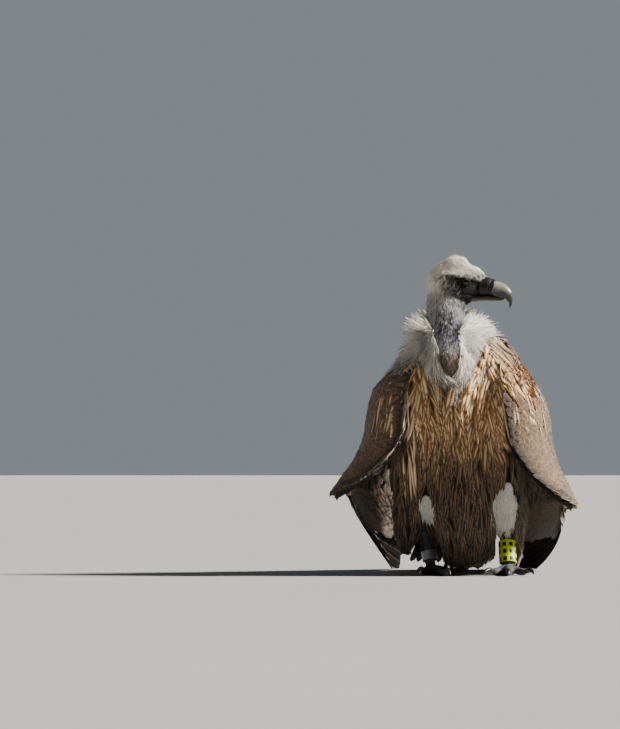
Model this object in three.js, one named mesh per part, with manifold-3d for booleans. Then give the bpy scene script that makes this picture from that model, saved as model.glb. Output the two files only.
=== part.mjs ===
// A life-size griffon vulture (Gyps fulvus): a still model that stands upright on its toes.
// It faces the viewer, its wings droop a little away from the body, and its head is turned
// to its left, in profile. A metal ring sits on its right leg and a wide plastic ring on
// its left leg.
//
// Millimetres. +Z is up, +Y is behind the bird and +X is on the bird's left. All sizes are
// given in the bird's own frame, whose origin lies on the floor below the breast. At the
// end the whole group moves so that the origin is at the bottom centre of its box.
//
// Every solid gives the outline of the plumage, out to the feather tips.

import * as THREE from "three";
import { mergeVertices } from "three/addons/utils/BufferGeometryUtils.js";
import Module from "manifold-3d";

const wasm = await Module();
wasm.setup();

// ---------------------------------------------------------------- driving sizes

const GAP = 0.35; // clearance between neighbouring solids
const MERGE = 1e-3; // vertices closer than this are one vertex
const END_RINGS = 0.06; // how far a loft's rings crowd towards its two rounded ends

const HEAD_CENTRE = [-8, -46, 515]; // middle of the braincase
const HEAD_YAW = THREE.MathUtils.degToRad(-6); // from straight left, towards the viewer
const EYE = { forward: 27, side: 19.6, up: 3.8, radius: 9 };

const LEFT_FOOT = { side: 1, x: 95, y: 0, yaw: -2, ankle: [92, 22, 78] };
const RIGHT_FOOT = { side: -1, x: -42, y: -2, yaw: 16, ankle: [-53, 20, 84] };
const TARSUS_RADIUS = 9.6;
const METAL_RING = { inner: 11.6, outer: 13.6, low: 26, height: 17 };
const PLASTIC_RING = { inner: 13.2, outer: 15.6, low: 21, height: 40 };

// Toes: [name, degrees turned outwards from the foot's own forward, length, radius]
const TOES = [
  ["middle", 0, 88, 8],
  ["inner", -34, 54, 8],
  ["outer", 32, 62, 7.4],
  ["hind", 172, 36, 7.6],
];
const CLAW_LENGTH = 25;

const TAIL_FEATHERS = 12;
const SECONDARY_TIPS = 9;
const PRIMARY_TIPS = 8;

const COLOUR = {
  down: 0xd9d4c8,
  grey_down: 0x8f8d8c,
  breast: 0x8a5f38,
  belly: 0x6b4626,
  covert: 0xa98763,
  flight: 0x2b211a,
  cere: 0x17171a,
  horn: 0x8c8b78,
  eye: 0x2a1a10,
  leg: 0x4c4d50,
  claw: 0x1c1a19,
  metal: 0xb9bcc2,
  plastic: 0xd6d21c,
};

// ---------------------------------------------------------------- shaping tools

const vector = (p) => new THREE.Vector3(p[0], p[1], p[2]);

// The geometry with one vertex where several met, and positions only.
function bare(geometry) {
  geometry.deleteAttribute("normal");
  geometry.deleteAttribute("uv");
  return mergeVertices(geometry, MERGE);
}

// Turns every face round if the body is inside out.
function outward(geometry) {
  const position = geometry.getAttribute("position");
  const index = geometry.index.array;
  const [a, b, c] = [vector([0, 0, 0]), vector([0, 0, 0]), vector([0, 0, 0])];
  let volume = 0;
  for (let i = 0; i < index.length; i += 3) {
    a.fromBufferAttribute(position, index[i]);
    b.fromBufferAttribute(position, index[i + 1]);
    c.fromBufferAttribute(position, index[i + 2]);
    volume += a.dot(b.cross(c));
  }
  if (volume < 0)
    for (let i = 0; i < index.length; i += 3)
      [index[i + 1], index[i + 2]] = [index[i + 2], index[i + 1]];
  return geometry;
}

// A closed body along a smooth path. A station is [x, y, z, half width, half depth].
// Width lies along across, and depth at right angles to it and to the path. The ends are
// rounded over the shares of the path in caps.
function loft(stations, options = {}) {
  const { around = 14, along = 12, across = [1, 0, 0], caps = [0.1, 0.1] } = options;
  const path = new THREE.CatmullRomCurve3(stations.map(vector));
  const sizes = new THREE.CatmullRomCurve3(stations.map((s) => vector([s[3], s[4], 0])));
  const geometry = bare(new THREE.SphereGeometry(1, around, along));
  const position = geometry.getAttribute("position");
  const reference = vector(across);
  for (let i = 0; i < position.count; i++) {
    const pole = vector([position.getX(i), position.getY(i), position.getZ(i)]);
    const even = Math.acos(THREE.MathUtils.clamp(pole.y, -1, 1)) / Math.PI;
    const t = even - END_RINGS * Math.sin(2 * Math.PI * even);
    const angle = Math.atan2(pole.z, -pole.x);
    const tangent = path.getTangent(t);
    const side = reference.clone().addScaledVector(tangent, -reference.dot(tangent));
    side.normalize();
    const depth = tangent.clone().cross(side);
    const size = sizes.getPoint(t);
    const end = Math.min(t / caps[0], (1 - t) / caps[1], 1);
    const round = Math.sqrt(Math.max(0, 1 - (1 - end) ** 2));
    const point = path.getPoint(t);
    point.addScaledVector(side, round * size.x * Math.cos(angle));
    point.addScaledVector(depth, round * size.y * Math.sin(angle));
    position.setXYZ(i, point.x, point.y, point.z);
  }
  return outward(geometry);
}

// A closed plate: at(s, v) is its outer face, and thick(s, v) how far the inner face
// lies behind it, at right angles to the smooth surface. s and v run over their ranges.
function plate(at, smooth, thick, sRange, vRange, sSteps, vSteps) {
  const step = 1e-3;
  const geometry = bare(new THREE.BoxGeometry(1, 1, 1, sSteps, vSteps, 1));
  const position = geometry.getAttribute("position");
  for (let i = 0; i < position.count; i++) {
    const s = THREE.MathUtils.lerp(...sRange, position.getX(i) + 0.5);
    const v = THREE.MathUtils.lerp(...vRange, position.getY(i) + 0.5);
    const point = at(s, v);
    if (position.getZ(i) < 0) {
      const alongS = smooth(Math.min(s + step, 1), v).sub(smooth(Math.max(s - step, 0), v));
      const alongV = smooth(s, Math.min(v + step, 1)).sub(smooth(s, Math.max(v - step, 0)));
      const normal = alongS.cross(alongV).normalize();
      point.addScaledVector(normal, thick(s, v));
    }
    position.setXYZ(i, point.x, point.y, point.z);
  }
  return outward(geometry);
}

function ball(centre, radius, around = 10) {
  const geometry = bare(new THREE.SphereGeometry(radius, around, Math.round(around * 0.6)));
  return geometry.translate(...centre);
}

// The same body with every vertex moved outwards by the clearance.
function grown(geometry, by = GAP) {
  const wide = geometry.clone();
  wide.computeVertexNormals();
  const position = wide.getAttribute("position");
  const normal = wide.getAttribute("normal");
  for (let i = 0; i < position.count; i++)
    position.setXYZ(
      i,
      position.getX(i) + by * normal.getX(i),
      position.getY(i) + by * normal.getY(i),
      position.getZ(i) + by * normal.getZ(i),
    );
  wide.deleteAttribute("normal");
  return wide;
}

function solid(geometry) {
  const merged = mergeVertices(geometry.clone(), MERGE);
  return new wasm.Manifold(
    new wasm.Mesh({
      numProp: 3,
      vertProperties: new Float32Array(merged.getAttribute("position").array),
      triVerts: new Uint32Array(merged.index.array),
    }),
  );
}

function geometryOf(body) {
  const mesh = body.getMesh();
  const geometry = new THREE.BufferGeometry();
  const positions = new Float32Array(mesh.vertProperties);
  geometry.setAttribute("position", new THREE.BufferAttribute(positions, 3));
  geometry.setIndex(new THREE.BufferAttribute(new Uint32Array(mesh.triVerts), 1));
  return geometry;
}

// What is left of a body once its neighbours are taken away with their clearance.
// Only the largest piece stays.
function carve(geometry, ...neighbours) {
  let body = solid(geometry);
  for (const neighbour of neighbours) body = body.subtract(solid(grown(neighbour)));
  const pieces = body.decompose();
  pieces.sort((a, b) => b.volume() - a.volume());
  return geometryOf(pieces[0]);
}

function join(...bodies) {
  return geometryOf(bodies.map(solid).reduce((whole, next) => whole.add(next)));
}

// Cuts away all that lies below the floor, which leaves the flats that the bird rests on.
function onFloor(geometry) {
  const reach = 2000;
  const ground = bare(new THREE.BoxGeometry(reach, reach, reach).translate(0, 0, -reach / 2));
  return geometryOf(solid(geometry).subtract(solid(ground)));
}

// ---------------------------------------------------------------- head and bill

const headMatrix = new THREE.Matrix4()
  .makeRotationZ(HEAD_YAW)
  .setPosition(vector(HEAD_CENTRE));

// The head's own frame: x is forward along the bill, y to the bird's left, z up.
const inHead = (geometry) => outward(geometry.applyMatrix4(headMatrix));
const sideways = [0, 1, 0];

const head = inHead(
  loft(
    [
      [-46, 0, -10, 18, 20],
      [-32, 0, -6, 28, 32.5],
      [-10, 0, 1, 32.5, 44],
      [10, 0, 2, 32, 46.5],
      [27, 0, -0.8, 27.5, 40.2],
      [44, 0, -2, 20.5, 31],
      [59, 0, -6, 15.5, 22.5],
      [64, 0, -7, 14, 19.5],
    ],
    { across: sideways, around: 14, along: 12, caps: [0.24, 0.03] },
  ),
);

const cere = inHead(
  loft(
    [
      [52, 0, -3, 14.5, 17.5],
      [62, 0, -4, 14.5, 17.5],
      [70, 0, -5.5, 13.2, 16.2],
      [77, 0, -7.2, 12, 14.6],
    ],
    { across: sideways, around: 12, along: 5, caps: [0.05, 0.05] },
  ),
);

const billUpper = inHead(
  loft(
    [
      [67, 0, -5.4, 10.4, 12.8],
      [75, 0, -7, 10.6, 13],
      [81, 0, -8.8, 11, 14],
      [91, 0, -12.2, 9.8, 13],
      [98.5, 0, -17.8, 8, 10.4],
      [102.6, 0, -24.5, 5.6, 6.8],
      [105.2, 0, -31.5, 3.2, 3.7],
      [103.8, 0, -42.5, 0.8, 1.1],
    ],
    { across: sideways, around: 12, along: 12, caps: [0.03, 0.1] },
  ),
);

const billLower = inHead(
  loft(
    [
      [40, 0, -25, 13.5, 8],
      [56, 0, -24.6, 12.4, 5.2],
      [74, 0, -24.8, 9.6, 4.3],
      [88, 0, -25.4, 6.8, 3.4],
      [95, 0, -25.6, 4, 2],
    ],
    { across: sideways, around: 10, along: 6, caps: [0.04, 0.12] },
  ),
);

const eyeAt = (side) =>
  vector([EYE.forward, side * EYE.side, EYE.up]).applyMatrix4(headMatrix).toArray();
const eyeLeft = ball(eyeAt(1), EYE.radius);
const eyeRight = ball(eyeAt(-1), EYE.radius);

// ---------------------------------------------------------------- neck, collar, trunk

const neck = loft(
  [
    [-8, -90, 332, 22, 24],
    [-9, -91, 354, 29, 34],
    [-13, -86, 384, 29.5, 34],
    [-16, -74, 413, 28, 31],
    [-17, -60, 443, 32, 30],
    [-19, -50, 472, 37, 30],
    [-20, -46, 498, 33, 27],
    [-18, -46, 515, 26, 22],
  ],
  { around: 12, along: 9, caps: [0.06, 0.12] },
);

// The collar of down leans forward: high behind the neck, and in front it hangs to a point.
const collar = loft(
  [
    [-9, 40, 458, 34, 18],
    [-10, 18, 442, 72, 32],
    [-11, -12, 420, 84, 42],
    [-11, -42, 398, 84, 46],
    [-10, -74, 374, 70, 36],
    [-6, -102, 350, 44, 21],
    [-2, -124, 326, 12, 11],
  ],
  { around: 16, along: 10, caps: [0.16, 0.12] },
);

const trunk = loft(
  [
    [0, -26, 424, 60, 36],
    [2, -26, 396, 84, 62],
    [1, -22, 362, 95, 84],
    [0, -12, 320, 104, 102],
    [0, 2, 276, 117, 112],
    [0, 26, 226, 111, 110],
    [0, 62, 184, 96, 90],
    [0, 112, 154, 74, 60],
    [0, 166, 132, 56, 36],
  ],
  { around: 16, along: 11, caps: [0.14, 0.06] },
);

const belly = loft(
  [
    [0, 4, 256, 84, 60],
    [0, -18, 214, 86, 68],
    [3, -26, 180, 76, 65],
    [6, -28, 145, 66, 60],
    [16, -20, 95, 60, 44],
    [26, -8, 52, 52, 30],
    [31, 0, 7, 44, 16],
  ],
  { around: 12, along: 9, caps: [0.08, 0.08] },
);

// ---------------------------------------------------------------- legs

const thighLeft = loft(
  [
    [82, -26, 236, 33, 38],
    [86, -26, 196, 30, 36],
    [89, -16, 156, 28, 33],
    [90, 0, 116, 26, 28],
    [91, 14, 84, 21, 21],
    [92, 21, 60, 14, 14],
  ],
  { around: 12, along: 8, caps: [0.12, 0.08] },
);

const thighRight = loft(
  [
    [-46, -32, 236, 33, 36],
    [-52, -32, 196, 31, 34],
    [-57, -24, 156, 28, 31],
    [-58, -6, 120, 24, 26],
    [-56, 10, 92, 19, 19],
    [-52, 18, 66, 13, 13],
  ],
  { around: 12, along: 8, caps: [0.12, 0.08] },
);

const trouserRight = loft(
  [
    [-80, -10, 240, 34, 50],
    [-88, -8, 185, 25, 44],
    [-85, 0, 130, 26, 37],
    [-86, 12, 80, 24, 28],
    [-88, 20, 38, 14, 15],
  ],
  { around: 12, along: 8, caps: [0.1, 0.1] },
);

const trouserLeft = loft(
  [
    [94, 18, 236, 32, 52],
    [104, 28, 180, 28, 46],
    [110, 36, 120, 22, 37],
    [114, 42, 70, 12, 24],
    [116, 44, 22, 6, 9],
  ],
  { around: 12, along: 8, caps: [0.1, 0.1] },
);

// A foot's own frame: x to the side, -y forward, the tarsus over the origin.
function toePath(length) {
  return [
    [0, 0, 9.5, 1],
    [0, -0.28 * length, 11, 1],
    [0, -0.55 * length, 7.2, 1],
    [0, -0.8 * length, 6.6, 0.92],
    [0, -length, 6.4, 0.74],
  ];
}

function placed(geometry, foot, turn = 0) {
  const yaw = THREE.MathUtils.degToRad(foot.yaw + foot.side * turn);
  return geometry.rotateZ(yaw).translate(foot.x, foot.y, 0);
}

function makeFoot(foot) {
  const toes = TOES.map(([, turn, length, radius]) => {
    const stations = toePath(length).map(([x, y, z, k]) => [x, y, z, k * radius, k * radius]);
    const toe = loft(stations, { around: 8, along: 6, caps: [0.1, 0.16] });
    return placed(toe, foot, turn);
  });
  const pad = loft([[0, 0, -4, 13, 12], [0, 0, 8, 13, 12], [0, 1, 20, 10, 10]], {
    around: 10,
    along: 5,
    caps: [0.1, 0.2],
  });
  return onFloor(join(placed(pad, foot), ...toes));
}

function makeClaws(foot, whole) {
  return TOES.map(([name, turn, length, radius]) => {
    const back = radius * 0.5;
    const stations = [
      [0, -length + back, 7.5, 4.6, 5.2],
      [0, -length - 0.3 * CLAW_LENGTH, 10, 4, 4.8],
      [0, -length - 0.7 * CLAW_LENGTH, 8.2, 2.8, 3.4],
      [0, -length - 0.96 * CLAW_LENGTH, 3, 1, 1.3],
    ];
    const claw = placed(loft(stations, { around: 6, along: 5, caps: [0.05, 0.15] }), foot, turn);
    return [name, carve(claw, whole)];
  });
}

// The tarsus's straight middle line, from low in the foot up to the ankle.
const footTop = (foot) => vector([foot.x, foot.y, 12]);

function makeTarsus(foot) {
  const line = new THREE.LineCurve3(footTop(foot), vector(foot.ankle));
  const widths = [1.15, 1, 0.97, 1, 1.12];
  const stations = widths.map((k, i) => {
    const point = line.getPoint(i / (widths.length - 1));
    return [...point.toArray(), k * TARSUS_RADIUS, k * TARSUS_RADIUS];
  });
  return loft(stations, { around: 10, along: 5, caps: [0.05, 0.1] });
}

// A leg ring, a loose tube with the tarsus through its middle.
function makeRing(ring, foot) {
  const { inner, outer, low, height } = ring;
  const outline = [
    [inner, 0],
    [outer, 0],
    [outer, height],
    [inner, height],
    [inner, 0],
  ].map(([r, h]) => new THREE.Vector2(r, h));
  const tube = bare(new THREE.LatheGeometry(outline, 20)).translate(0, -height / 2, 0);
  const start = footTop(foot);
  const axis = vector(foot.ankle).sub(start).normalize();
  const middle = start.addScaledVector(axis, (low + height / 2 - start.z) / axis.z);
  const lean = new THREE.Quaternion().setFromUnitVectors(vector([0, 1, 0]), axis);
  return outward(tube.applyQuaternion(lean).translate(...middle));
}

const footLeft = makeFoot(LEFT_FOOT);
const footRight = makeFoot(RIGHT_FOOT);
const tarsusLeft = makeTarsus(LEFT_FOOT);
const tarsusRight = makeTarsus(RIGHT_FOOT);
const plasticRing = makeRing(PLASTIC_RING, LEFT_FOOT);
const metalRing = makeRing(METAL_RING, RIGHT_FOOT);

// ---------------------------------------------------------------- wings

// Level slices of the arm of a drooped wing, from the shoulder down to the wrist. z is the
// height, lead the front edge, bulge the widest point, and trail the rear edge.
const LEFT_ARM = [
  { z: 424, lead: [66, -30], bulge: [84, -4], trail: [60, 44], thick: 10 },
  { z: 398, lead: [76, -68], bulge: [106, -24], trail: [66, 74], thick: 18 },
  { z: 370, lead: [78, -92], bulge: [117, -38], trail: [68, 102], thick: 24 },
  { z: 335, lead: [82, -112], bulge: [145, -46], trail: [66, 136], thick: 34 },
  { z: 290, lead: [89, -122], bulge: [164, -50], trail: [60, 180], thick: 38 },
  { z: 240, lead: [98, -124], bulge: [170, -50], trail: [54, 228], thick: 36 },
  { z: 195, lead: [126, -122], bulge: [182, -50], trail: [54, 270], thick: 26 },
  { z: 158, lead: [164, -116], bulge: [201, -52], trail: [56, 306], thick: 16 },
  { z: 128, lead: [208, -100], bulge: [212, -64], trail: [60, 336], thick: 8 },
];
const RIGHT_ARM = [
  { z: 404, lead: [70, -30], bulge: [86, -4], trail: [60, 52], thick: 10 },
  { z: 384, lead: [78, -68], bulge: [102, -24], trail: [66, 76], thick: 18 },
  { z: 362, lead: [84, -92], bulge: [111, -38], trail: [68, 102], thick: 26 },
  { z: 334, lead: [90, -110], bulge: [143, -46], trail: [66, 136], thick: 32 },
  { z: 290, lead: [95, -120], bulge: [156, -50], trail: [60, 178], thick: 36 },
  { z: 245, lead: [104, -124], bulge: [163, -50], trail: [54, 224], thick: 34 },
  { z: 206, lead: [134, -122], bulge: [180, -52], trail: [54, 262], thick: 26 },
  { z: 175, lead: [172, -118], bulge: [203, -56], trail: [56, 292], thick: 16 },
  { z: 148, lead: [217, -100], bulge: [220, -66], trail: [60, 322], thick: 8 },
];

// Level slices of the hand, from under the wrist down to the wing tip.
const LEFT_HAND = [
  { z: 127, lead: [195, -84], bulge: [198, -40], trail: [60, 338], thick: 7 },
  { z: 96, lead: [194, 10], bulge: [192, 70], trail: [68, 372], thick: 6 },
  { z: 52, lead: [189, 150], bulge: [182, 210], trail: [88, 408], thick: 5 },
  { z: 18, lead: [174, 285], bulge: [166, 325], trail: [108, 434], thick: 4 },
  { z: 2, lead: [162, 370], bulge: [154, 395], trail: [120, 442], thick: 3 },
];
const RIGHT_HAND = [
  { z: 147, lead: [201, -84], bulge: [203, -40], trail: [60, 324], thick: 7 },
  { z: 104, lead: [174, 10], bulge: [168, 70], trail: [66, 364], thick: 6 },
  { z: 58, lead: [146, 160], bulge: [138, 215], trail: [78, 402], thick: 5 },
  { z: 20, lead: [120, 296], bulge: [116, 330], trail: [88, 434], thick: 4 },
  { z: 2, lead: [108, 385], bulge: [106, 400], trail: [92, 446], thick: 3 },
];

const ARM_SHARE = 0.55; // where the coverts end and the secondaries begin
const CUT = 0.0015; // half of a thin cut, as a share of the wing

// The wing's outer face: s from the front edge (0) to the rear edge (1), v downwards.
// tips feathers reach past the rear edge by up to reach.
function wingFace(rows, side, tips = 0, reach = 0) {
  const curve = (key) =>
    new THREE.CatmullRomCurve3(rows.map((r) => vector([side * r[key][0], r[key][1], r.z])));
  const [lead, bulge, trail] = [curve("lead"), curve("bulge"), curve("trail")];
  return (s, v) => {
    const [a, b, c] = [lead.getPoint(v), bulge.getPoint(v), trail.getPoint(v)];
    const chord = a.distanceTo(c);
    const nose = a.clone().lerp(b, 0.45);
    nose.y -= 0.14 * a.distanceTo(b);
    nose.x += side * 0.05 * a.distanceTo(b);
    const rear = b.clone().lerp(c, 0.5);
    rear.x += side * 0.07 * chord;
    rear.y += 0.03 * chord;
    const point = new THREE.CatmullRomCurve3([a, nose, b, rear, c]).getPoint(s);
    if (tips) {
      const wave = Math.abs(Math.sin(Math.PI * tips * v));
      const out = c.clone().sub(rear).normalize();
      point.addScaledVector(out, reach * wave * s ** 4);
      point.z -= 0.6 * reach * wave * s ** 4;
    }
    point.z = Math.max(point.z, 1.6);
    return point;
  };
}

function wingThickness(rows) {
  const table = new THREE.CatmullRomCurve3(rows.map((r) => vector([r.thick, 0, 0])));
  return (s, v) => {
    const most = table.getPoint(v).x;
    const nose = Math.sqrt(1 - (1 - Math.min(s / 0.14, 1)) ** 2);
    const taper = 1 - THREE.MathUtils.smoothstep(s, 0.3, 0.66);
    const rear = THREE.MathUtils.lerp(6, 2.2, THREE.MathUtils.smoothstep(s, 0.6, 1));
    return 1.2 + nose * (taper * Math.max(most - rear, 0) + Math.min(rear, most));
  };
}

function makeWing(armRows, handRows, side) {
  const armThickness = wingThickness(armRows);
  const handThickness = wingThickness(handRows);
  const thickArm = (s, v) => side * armThickness(s, v);
  const thickHand = (s, v) => side * handThickness(s, v);
  const [armSheet, handSheet] = [wingFace(armRows, side), wingFace(handRows, side)];
  const secondaryFace = wingFace(armRows, side, SECONDARY_TIPS, 14);
  const primaryFace = wingFace(handRows, side, PRIMARY_TIPS, 12);
  const front = [0, ARM_SHARE - CUT];
  const rear = [ARM_SHARE + CUT, 1];
  const [whole, secondarySteps] = [[0, 1], 3 * SECONDARY_TIPS];
  return {
    arm: plate(armSheet, armSheet, thickArm, front, whole, 7, 10),
    secondaries: plate(secondaryFace, armSheet, thickArm, rear, whole, 2, secondarySteps),
    primaries: plate(primaryFace, handSheet, thickHand, whole, whole, 4, 3 * PRIMARY_TIPS),
  };
}

const wingLeft = makeWing(LEFT_ARM, LEFT_HAND, 1);
const wingRight = makeWing(RIGHT_ARM, RIGHT_HAND, -1);

// ---------------------------------------------------------------- tail

// The tail: s from its base to its end, v across it.
const TAIL = { base: [0, 162, 135], end: [0, 408, 14], baseHalf: 46, endHalf: 76, arch: 12 };
function tailFace(s, v, tips = TAIL_FEATHERS) {
  const across = 2 * v - 1;
  const point = vector(TAIL.base).lerp(vector(TAIL.end), s);
  const half = THREE.MathUtils.lerp(TAIL.baseHalf, TAIL.endHalf, s);
  point.x += half * across;
  point.z -= TAIL.arch * across ** 2 * (1 - 0.5 * s);
  const out = vector(TAIL.end).sub(vector(TAIL.base)).normalize();
  const wave = Math.abs(Math.sin(Math.PI * tips * v));
  point.addScaledVector(out, (12 * wave - 26 * across ** 2) * s ** 4);
  return point;
}
const tailSheet = (s, v) => tailFace(s, v, 0);
const tailThickness = (s) => 13 - 10.5 * s;
const tailSteps = [2, 3 * TAIL_FEATHERS];
const tail = plate(tailFace, tailSheet, tailThickness, [0, 1], [0, 1], ...tailSteps);

// ---------------------------------------------------------------- the whole bird

const group = new THREE.Group();

function add(name, geometry, colour, roughness = 0.9, metalness = 0) {
  const material = new THREE.MeshStandardMaterial({ color: colour, roughness, metalness });
  material.name = name;
  const mesh = new THREE.Mesh(geometry, material);
  mesh.name = name;
  group.add(mesh);
}

add("eye_left", eyeLeft, COLOUR.eye, 0.15);
add("eye_right", eyeRight, COLOUR.eye, 0.15);
add("bill_lower", billLower, COLOUR.cere, 0.4);
add("bill_upper", carve(billUpper, billLower), COLOUR.horn, 0.35);
add("cere", carve(cere, billUpper, billLower), COLOUR.cere, 0.45);
add("head", carve(head, eyeLeft, eyeRight, billLower, cere, billUpper), COLOUR.down);
add("neck", carve(neck, head, billLower), COLOUR.grey_down);
add("collar", carve(collar, neck), COLOUR.down);
add("trunk", carve(trunk, neck, collar), COLOUR.breast);

add("thigh_left", carve(thighLeft, trunk), COLOUR.down);
add("thigh_right", carve(thighRight, trunk), COLOUR.down);
add("trouser_left", carve(trouserLeft, trunk, thighLeft, tarsusLeft, plasticRing), COLOUR.belly);
add("trouser_right", carve(trouserRight, trunk, thighRight, tarsusRight, metalRing), COLOUR.belly);
add("belly", carve(belly, trunk, thighLeft, thighRight, trouserLeft, trouserRight), COLOUR.belly);

add("foot_left", footLeft, COLOUR.leg, 0.7);
add("foot_right", footRight, COLOUR.leg, 0.7);
for (const [name, claw] of makeClaws(LEFT_FOOT, footLeft))
  add("claw_left_" + name, claw, COLOUR.claw, 0.35);
for (const [name, claw] of makeClaws(RIGHT_FOOT, footRight))
  add("claw_right_" + name, claw, COLOUR.claw, 0.35);
add("tarsus_left", carve(tarsusLeft, footLeft, thighLeft), COLOUR.leg, 0.7);
add("tarsus_right", carve(tarsusRight, footRight, thighRight), COLOUR.leg, 0.7);
add("ring_plastic", plasticRing, COLOUR.plastic, 0.4);
add("ring_metal", metalRing, COLOUR.metal, 0.3, 1);

const flesh = [trunk, belly, trouserLeft, trouserRight, thighLeft, collar];
for (const [side, wing] of [["left", wingLeft], ["right", wingRight]]) {
  const { arm, secondaries, primaries } = wing;
  const name = "wing_" + side + "_";
  add(name + "arm", carve(arm, ...flesh), COLOUR.covert);
  add(name + "secondaries", carve(secondaries, trunk, arm), COLOUR.flight);
  add(name + "primaries", onFloor(carve(primaries, trunk, arm, secondaries)), COLOUR.flight);
}
add("tail", onFloor(carve(tail, trunk)), COLOUR.flight);

const box = new THREE.Box3().setFromObject(group, true);
const middle = box.getCenter(new THREE.Vector3());
group.position.set(-middle.x, -middle.y, -box.min.z);

export default group;
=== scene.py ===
"""The looks of a standing griffon vulture, built round its solids.

Lengths in the tables are millimetres in the bird's own frame: x to the bird's left, y behind
it, z up, with the origin on the floor below the breast. Everything else is in metres.
"""

import math

import bmesh
import bpy
import numpy as np
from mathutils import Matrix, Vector
from mathutils.bvhtree import BVHTree


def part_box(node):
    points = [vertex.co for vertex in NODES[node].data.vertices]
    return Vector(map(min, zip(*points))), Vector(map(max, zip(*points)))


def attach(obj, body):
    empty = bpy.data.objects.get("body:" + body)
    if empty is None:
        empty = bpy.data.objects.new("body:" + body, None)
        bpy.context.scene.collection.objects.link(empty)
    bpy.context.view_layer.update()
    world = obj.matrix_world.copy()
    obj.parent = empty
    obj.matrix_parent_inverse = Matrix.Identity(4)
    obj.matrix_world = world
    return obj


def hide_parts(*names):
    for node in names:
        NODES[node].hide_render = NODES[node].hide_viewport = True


MM = 0.001
RNG = np.random.default_rng(7)

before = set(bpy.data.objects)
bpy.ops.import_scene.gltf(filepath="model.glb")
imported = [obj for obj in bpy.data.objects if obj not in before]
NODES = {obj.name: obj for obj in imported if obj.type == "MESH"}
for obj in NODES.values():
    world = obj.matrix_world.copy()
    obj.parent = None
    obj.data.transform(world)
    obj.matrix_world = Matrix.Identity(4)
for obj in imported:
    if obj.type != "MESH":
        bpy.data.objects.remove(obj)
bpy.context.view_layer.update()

# The plastic leg ring's middle in the bird's own frame gives the way to the row's frame.
RING_MIDDLE = np.array([93.68, 9.667]) * MM
ring_low, ring_high = (np.array(corner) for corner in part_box("ring_plastic"))
SHIFT = np.zeros(3)
SHIFT[:2] = (ring_low + ring_high)[:2] / 2 - RING_MIDDLE

# ------------------------------------------------------------------ numbers and curves


def unit(v):
    return v / np.maximum(np.linalg.norm(v, axis=-1, keepdims=True), 1e-9)


def smooth(x, a, b):
    t = np.clip((x - a) / (b - a), 0, 1)
    return t * t * (3 - 2 * t)


def mix(a, b, t):
    """Blends two colours, or two arrays of them, by one number for each row."""
    t = np.asarray(t, float)[..., None]
    return np.asarray(a) * (1 - t) + np.asarray(b) * t


def bell(*terms):
    """A smooth hill from 0 to 1; each term is a value, where it peaks, and its half width."""
    return np.exp(-sum(((x - middle) / width) ** 2 for x, middle, width in terms))


def flat_to(normal, v):
    """The part of v that lies along the surface, as a unit vector."""
    return unit(v - normal * np.sum(v * normal, -1, keepdims=True))


def spline(rows, t):
    """A smooth curve through rows, with t from 0 to 1 spread evenly over their spans.

    rows is one table for every t, or a table of its own for each t."""
    rows, t = np.asarray(rows, float), np.asarray(t, float)
    spans = rows.shape[-2] - 1
    x = np.clip(t, 0, 1) * spans
    i = np.minimum(x.astype(int), spans - 1)
    f = (x - i)[..., None]
    first = 2 * rows[..., :1, :] - rows[..., 1:2, :]
    last = 2 * rows[..., -1:, :] - rows[..., -2:-1, :]
    full = np.concatenate([first, rows, last], axis=-2)
    if rows.ndim == 2:
        p = [full[i + k] for k in range(4)]
    else:
        p = [np.take_along_axis(full, (i + k)[..., None, None], axis=-2)[..., 0, :]
             for k in range(4)]
    d = [np.sqrt(np.linalg.norm(p[k + 1] - p[k], axis=-1, keepdims=True)) for k in range(3)]
    d1 = np.where(d[1] < 1e-6, 1, d[1])
    d0 = np.where(d[0] < 1e-6, d1, d[0])
    d2 = np.where(d[2] < 1e-6, d1, d[2])
    t1 = ((p[1] - p[0]) / d0 - (p[2] - p[0]) / (d0 + d1) + (p[2] - p[1]) / d1) * d1
    t2 = ((p[2] - p[1]) / d1 - (p[3] - p[1]) / (d1 + d2) + (p[3] - p[2]) / d2) * d1
    c2 = -3 * p[1] + 3 * p[2] - 2 * t1 - t2
    c3 = 2 * p[1] - 2 * p[2] + t1 + t2
    return p[1] + t1 * f + c2 * f**2 + c3 * f**3


def srgb(*rgb):
    """A colour given as 0 to 255, as the linear numbers that shaders use."""
    c = np.array(rgb) / 255
    return np.where(c <= 0.04045, c / 12.92, ((c + 0.055) / 1.055) ** 2.4)


def wobble(points, size, seed):
    """Smooth noise from about -1 to 1 that changes over the given size."""
    rng = np.random.default_rng(seed)
    total = np.zeros(points.shape[:-1])
    for _ in range(6):
        way = unit(rng.normal(size=3)) * rng.uniform(0.6, 1.6) * 2 * np.pi / size
        total = total + np.sin(points @ way + rng.uniform(0, 6.3))
    return total / 3


# ------------------------------------------------------------------ meshes


def set_points(mesh, points):
    mesh.vertices.foreach_set("co", np.ascontiguousarray(points, float).ravel())
    mesh.update()


def rows_of(items, key, width=3, kind=float):
    """One value of each item of a mesh, as the rows of an array."""
    out = np.empty(len(items) * width, kind)
    items.foreach_get(key, out)
    return out.reshape(-1, width)


def mesh_points(mesh):
    return rows_of(mesh.vertices, "co")


def mesh_normals(mesh):
    return rows_of(mesh.vertex_normals, "vector")


def mesh_edges(mesh):
    return rows_of(mesh.edges, "vertices", 2, np.int32)


def colour_layer(mesh, name, colours):
    layer = mesh.color_attributes.new(name, "FLOAT_COLOR", "POINT")
    full = np.ones((len(colours), 4), np.float32)
    full[:, : colours.shape[1]] = colours
    layer.data.foreach_set("color", full.ravel())


def number_layer(mesh, name, values):
    layer = mesh.attributes.new(name, "FLOAT", "POINT")
    layer.data.foreach_set("value", np.asarray(values, np.float32))


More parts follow.
